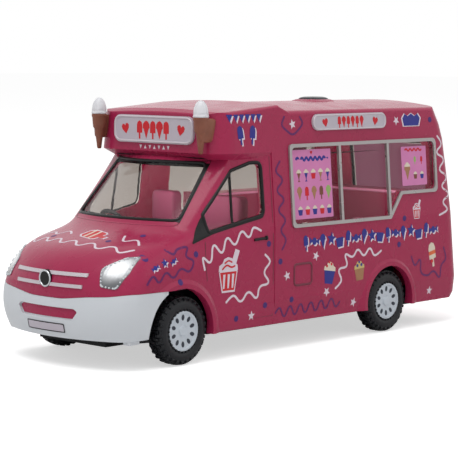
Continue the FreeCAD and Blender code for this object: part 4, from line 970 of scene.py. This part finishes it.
def make_back_prints():
    """A lilac film on the rear window, and lines, sweets and stars on the rear door."""
    print_on("rear_film", "back", [oblong(0, 23.5, 6.9, 3.7, 0.3)], FILM_LILAC, 1, 1.2, "rear_window")
    row = sweet_row(-6.0, 6.0, 12.9, 1.05, 7)
    print_on("rear_pale_edges", "back", shifted(row), INK_WHITE, 1, 1.2)
    print_on("rear_blue_sweets", "back", row, INK_BLUE, 2, 1.2)
    print_on("rear_lines", "back", [ribbon(line, 0.3) for line in BACK_LINES], INK_PURPLE, grid=0.8)
    stars = [star(u, v, 0.7, 0.3 * u) for u, v in ((-6.4, 8.6), (6.4, 8.9), (0.0, 15.2))]
    print_on("rear_stars", "back", stars, INK_WHITE, 1, 1.2)


make_seals()
make_handles_and_lines()
for side, _ in SIDES:
    print_table(SIDE_PRINTS, side, 1.2)
make_front_prints()
make_sign_prints()
print_table(MENU_PRINTS, "left", target="servery_glass_left")
for side, _ in SIDES:
    print_table(PRICE_PRINTS, side, target="servery_glass_" + side)
make_back_prints()


# ---- Wheels.
TYRE_RADIUS = (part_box("front_tyre_left")[1].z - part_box("front_tyre_left")[0].z) / 2 / MM
WHEEL_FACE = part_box("front_tyre_left")[1].y / MM
TYRE_STEPS = 56
# Distance in from the wheel's face, and distance in from the tread.
TYRE_PROFILE = ((3.05, 1.9), (3.05, 0.95), (2.85, 0.5), (2.4, 0.3), (1.75, 0.27), (1.1, 0.27), (0.55, 0.36),
                (0.24, 0.68), (0.08, 1.02), (0.08, 1.4), (0.2, 1.64), (0.35, 1.92))
# Rows of blocks: from and to (distance in from the face), which faces, margin round each, height.
BLOCK_ROWS = ((0.5, 1.1, 0, 0.05, 0.25), (1.1, 1.75, 1, 0.05, 0.25), (1.75, 2.45, 0, 0.05, 0.25),
              (0.22, 0.5, 0, 0.06, 0.2))
HUB_SLOTS = 10
SLOT_REACH = 1.78  # from the middle of the hub, in millimetres


def select_faces(chooser):
    """Select the faces of the mesh in hand that the chooser says yes to."""
    mesh = bpy.context.object.data
    for vertex in mesh.vertices:
        vertex.select = False
    for edge in mesh.edges:
        edge.select = False
    for face in mesh.polygons:
        face.select = bool(chooser(face))


def turned(points, steps, axis):
    """A closed solid turned about an axis from a chain of points, in millimetres."""
    deselect()
    bpy.ops.mesh.primitive_circle_add(vertices=len(points), radius=1.0, fill_type="NOTHING")
    for vertex, point in zip(bpy.context.object.data.vertices, points):
        vertex.co = [value * MM for value in point]
    with edit_mode():
        bpy.ops.mesh.spin(steps=steps, angle=2 * math.pi, center=(0, 0, 0), axis=axis)
        bpy.ops.mesh.select_all(action="SELECT")
        bpy.ops.mesh.remove_doubles(threshold=1e-6)
        bpy.ops.mesh.dissolve_degenerate(threshold=1e-7)
        bpy.ops.mesh.normals_make_consistent(inside=False)


def raise_blocks(first, last, parity, margin, height):
    """Raise every other face of a band round the tyre into a block."""
    def chosen(face):
        turn = math.atan2(face.center.z, face.center.x) / (2 * math.pi) * TYRE_STEPS
        inward = WHEEL_FACE - face.center.y / MM
        return first < inward < last and face.normal.xz.length > 0.35 and math.floor(turn) % 2 == parity

    select_faces(chosen)
    with edit_mode(whole=False):
        bpy.ops.mesh.inset(use_individual=True, thickness=margin * MM, depth=height * MM)


def make_tyre():
    """One tyre about the origin, with its face towards the left."""
    profile = [(0.0, WHEEL_FACE - inward, TYRE_RADIUS - low) for inward, low in TYRE_PROFILE]
    turned(profile, TYRE_STEPS, (0, 1, 0))
    for row in BLOCK_ROWS:
        raise_blocks(*row)
    return bpy.context.object


def make_tyres():
    first = make_tyre()
    for end_name, axle_x in (("front", AXLE_X), ("rear", REAR_X)):
        for side, way in SIDES:
            pick(first)
            bpy.ops.object.duplicate()
            set_down((axle_x, 0, TYRE_RADIUS * MM), turn=0 if way > 0 else math.pi)
            name = "%s_tyre_%s" % (end_name, side)
            finish_piece("treaded_" + name, RUBBER, end_name + "_wheelset", stands_for=name)
            smooth_up_to(28)
            make_hub_slots(end_name, axle_x, side)
    bpy.data.objects.remove(first)


def make_hub_slots(end_name, axle_x, side):
    """Dark slots round a hub."""
    middle = (AXLE_X - axle_x) / MM
    slot = [(a * 1.5 + 0.08 * abs(b), b) for a, b in circle(0, 0, 0.27, 12)]
    slots = []
    for number in range(HUB_SLOTS):
        angle = 2 * math.pi * (number + 0.5) / HUB_SLOTS
        u = middle + SLOT_REACH * math.cos(angle)
        slots.append(moved(slot, u, TYRE_RADIUS + SLOT_REACH * math.sin(angle), 1.0, angle))
    print_on("%s_hub_slots_%s" % (end_name, side), side, on_side(side, slots), HUB_SHADOW,
             target="%s_hub_%s" % (end_name, side), body=end_name + "_wheelset")


# ---- Bumper slot, plate, badge ring and lamp rims.
SLOT_EDGE = ((-5.65, 7.6, 0.2), (-4.8, 6.68, 0.3), (4.8, 6.68, 0.3), (5.65, 7.6, 0.2), (5.0, 7.93, 0.2),
             (-5.0, 7.93, 0.2))
PLATE_EDGE = oblong(0, 5.35, 3.6, 0.6, 0.15)
PLATE_INSIDE = oblong(0, 5.35, 3.474, 0.48, 0.15)
LAMP_MIDDLE = (9.95, 12.8)
LAMP_RIM = (0.9, 0.93)  # the rim's width and height, as parts of the lamp's
STUD_RADIUS = 0.13 * MM
LAMP_EDGE = ((8.85, 11.1, 0.35), (10.95, 10.8, 0.4), (11.4, 12.8, 0.6), (11.25, 14.85, 0.3),
             (10.1, 14.75, 0.6), (8.1, 13.4, 0.6))
BADGE_HEIGHT = 11.6
REAR_PLATE_HEIGHT = 9.35


def make_nose_details():
    for name, finish, layer, loops in (
            ("bumper_slot_paint", PINK, 1, [rounded(SLOT_EDGE)]),
            ("front_plate", SIGN_WHITE, 5, [PLATE_EDGE]),
            ("front_plate_edge", BLACK, 6, [PLATE_EDGE, PLATE_INSIDE])):
        print_on(name, "front", loops, finish, layer, 1.2, "front_bumper")
    rims = [oblong(0, REAR_PLATE_HEIGHT, 3.38 - rim, 0.73 - rim, 0.1) for rim in (0, 0.13)]
    print_on("rear_plate_edge", "back", rims, BLACK, 1, 1.2, "rear_number_plate")
    bead("badge_ring", "front", [circle(0, BADGE_HEIGHT, 1.02, 32)], CHROME, 0.13, 0.02, target="nose_badge")
    (middle_u, middle_v), (part_u, part_v) = LAMP_MIDDLE, LAMP_RIM
    for side, way in SIDES:
        rim = [(way * (middle_u + (u - middle_u) * part_u), middle_v + (v - middle_v) * part_v, radius)
               for u, v, radius in LAMP_EDGE]
        make_lamp_rim(side, rounded(rim, 0.38))


def make_lamp_rim(side, loop):
    """A row of small bright studs along a lamp's edge."""
    lamp = skin_of("headlight_" + side)
    flat_curve("front", [loop], True, fill="NONE")
    lay_down(lamp, 0.03 * MM)
    places = [vertex.co.copy() for vertex in bpy.context.object.data.vertices]
    bpy.data.objects.remove(bpy.context.object)
    studs = []
    for place in places:
        deselect()
        bpy.ops.mesh.primitive_ico_sphere_add(subdivisions=2, radius=STUD_RADIUS)
        studs.append(set_down(place, (0.9, 1.0, 1.0)))
    pick(*studs)
    bpy.ops.object.join()
    finish_piece("headlight_rim_" + side, WHITE)


# ---- Wafer cones and their ice cream.
CONE_PROFILE = ((0.0, 0.0), (0.2, 0.02), (0.3, 0.14), (0.42, 1.1), (0.6, 2.4), (0.68, 2.75), (0.86, 3.05),
                (0.93, 3.6), (0.98, 4.4), (1.06, 4.55), (1.08, 4.8), (1.0, 4.88), (0.0, 4.86))
ICE_PROFILE = ((0.0, 0.0), (1.03, 0.0), (1.09, 0.12), (1.05, 0.3), (1.0, 0.36), (1.03, 0.5), (1.0, 0.85),
               (0.9, 1.3), (0.72, 1.75), (0.48, 2.08), (0.22, 2.25), (0.0, 2.28))
LUG_SIZE = (2.5 * MM, 1.8 * MM, 2.9 * MM)
LUG_PLACE = Vector((-0.95, 0.25, 3.35)) * MM  # from the cone's foot; the middle value is outwards


def make_cone(side, way):
    """A wafer cone with the lug that hangs it on the van."""
    middle = middle_of("ice_cream_" + side)
    foot = Vector((middle.x, middle.y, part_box("wafer_cone_" + side)[0].z))
    turned([(radius, 0.0, height) for radius, height in CONE_PROFILE], 28, (0, 0, 1))
    cone = set_down(foot)
    deselect()
    bpy.ops.mesh.primitive_cube_add(size=1)
    lug = set_down(foot + LUG_PLACE * Vector((1, way, 1)), LUG_SIZE)
    select_faces(lambda face: face.normal.z < -0.5)
    with edit_mode(whole=False):
        bpy.ops.transform.resize(value=(1.0, 0.5, 1.0))
        bpy.ops.transform.translate(value=(0.3 * MM, 0.0, -0.4 * MM))
    apply_modifier("BEVEL", width=0.3 * MM, segments=1)
    apply_modifier("SUBSURF", levels=2)
    pick(cone, lug)
    bpy.ops.object.join()
    finish_piece("hung_wafer_cone_" + side, WAFER, stands_for="wafer_cone_" + side)
    smooth_up_to(40)


def make_ice_cream(side, way):
    """A scoop of ice cream with a soft, uneven skirt."""
    middle, rim = middle_of("ice_cream_" + side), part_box("ice_cream_" + side)[0].z
    turned([(radius, 0.0, height) for radius, height in ICE_PROFILE], 32, (0, 0, 1))
    ice = set_down((middle.x, middle.y, rim))
    for vertex in ice.data.vertices:
        away = Vector((vertex.co.x - middle.x, vertex.co.y - middle.y, 0))
        height = (vertex.co.z - rim) / MM
        if away.length > 1e-6 and 0.05 < height < 0.6:
            turn = math.atan2(away.y, away.x)
            swell = 0.03 * math.sin(5 * turn + way) + 0.025 * math.sin(3 * turn)
            vertex.co += away.normalized() * swell * MM
            vertex.co.z += 0.05 * MM * math.sin(4 * turn + 2 * way)
    finish_piece("scooped_ice_cream_" + side, ICE, stands_for="ice_cream_" + side)
    bpy.ops.object.shade_smooth()


# ---- Roof hatch, seats and counters.
MOUND_CORNER = 0.62  # 1 gives an ellipse, 0 a rectangle


def raise_mound(middle, half_length, half_width, foot, steps):
    """A low mound with a rounded oblong foot; each step is how far in and how far up, in millimetres."""
    deselect()
    bpy.ops.mesh.primitive_circle_add(vertices=48, radius=1.0, fill_type="NGON")
    mound = bpy.context.object
    for vertex in mound.data.vertices:
        turn = math.atan2(vertex.co.y, vertex.co.x)
        across, along = math.cos(turn), math.sin(turn)
        vertex.co = (middle.x + half_length * math.copysign(abs(across) ** MOUND_CORNER, across),
                     middle.y + half_width * math.copysign(abs(along) ** MOUND_CORNER, along), foot)
    with edit_mode():
        bpy.ops.mesh.extrude_region_move(TRANSFORM_OT_translate={"value": (0.0, 0.0, 0.08 * MM)})
        for inward, upward in steps:
            bpy.ops.mesh.inset(thickness=inward * MM, depth=upward * MM)
        bpy.ops.mesh.select_all(action="SELECT")
        bpy.ops.mesh.normals_make_consistent(inside=False)
    apply_modifier("BEVEL", width=0.08 * MM, segments=3, limit_method="ANGLE", angle_limit=math.radians(8))


MOUND_STEPS = ((0.3, 0.1), (0.4, 0.11), (0.4, 0.07), (0.4, 0.03))
LID_STEPS = ((0.12, 0.12), (0.3, 0.11), (0.35, 0.07), (0.3, 0.03))
MOUND_SPREAD = 1.12  # as a part of the kerb's length and width
LID_SPREAD = (0.78, 0.76)


def make_hatch():
    """The roof hatch: a soft mound in the roof with a dark, shallow lid."""
    low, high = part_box("roof_hatch_kerb")
    middle, half = (low + high) / 2, (high - low) / 2
    raise_mound(middle, half.x * MOUND_SPREAD, half.y * MOUND_SPREAD, low.z - 0.05 * MM, MOUND_STEPS)
    finish_piece("rounded_hatch_kerb", PINK, stands_for="roof_hatch_kerb")
    smooth_up_to(40)
    lid_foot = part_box("roof_hatch_lid")[0].z
    raise_mound(middle, half.x * LID_SPREAD[0], half.y * LID_SPREAD[1], lid_foot - 0.12 * MM, LID_STEPS)
    finish_piece("shallow_hatch_lid", TINT, stands_for="roof_hatch_lid")
    smooth_up_to(40)


def make_seats():
    """The moulded seats with soft edges."""
    merged_copy("cab_seats")
    apply_modifier("BEVEL", width=0.6 * MM, segments=4, limit_method="ANGLE", angle_limit=math.radians(35))
    finish_piece("soft_cab_seats", CABIN, stands_for="cab_seats")
    smooth_up_to(40)


COUNTER_DEPTH = 4.0 * MM
REAR_COUNTER_DEPTH = 4.5 * MM
STRIP_DROP = 0.2 * MM


def make_counter_highlight():
    """A round strip along the front edge of the counters' top, pale as a painted highlight on that edge."""
    low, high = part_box("servery_counter")
    corners = ((high.x, low.y + COUNTER_DEPTH), (low.x + REAR_COUNTER_DEPTH, low.y + COUNTER_DEPTH),
               (low.x + REAR_COUNTER_DEPTH, high.y))
    data = bpy.data.curves.new("counter_painted_highlight", "CURVE")
    data.dimensions = "3D"
    spline = data.splines.new("POLY")
    spline.points.add(len(corners) - 1)
    for point, (x, y) in zip(spline.points, corners):
        point.co = (x, y, high.z - STRIP_DROP, 1)
    new_object("counter_painted_highlight", data)
    make_round(0.22)
    finish_piece("counter_highlight_strip", COUNTER_HIGHLIGHT)
    smooth_up_to(50)


make_tyres()
make_counter_highlight()
make_nose_details()
for side, way in SIDES:
    make_cone(side, way)
    make_ice_cream(side, way)
make_hatch()
make_seats()
for skin in SKINS.values():
    bpy.data.objects.remove(skin)
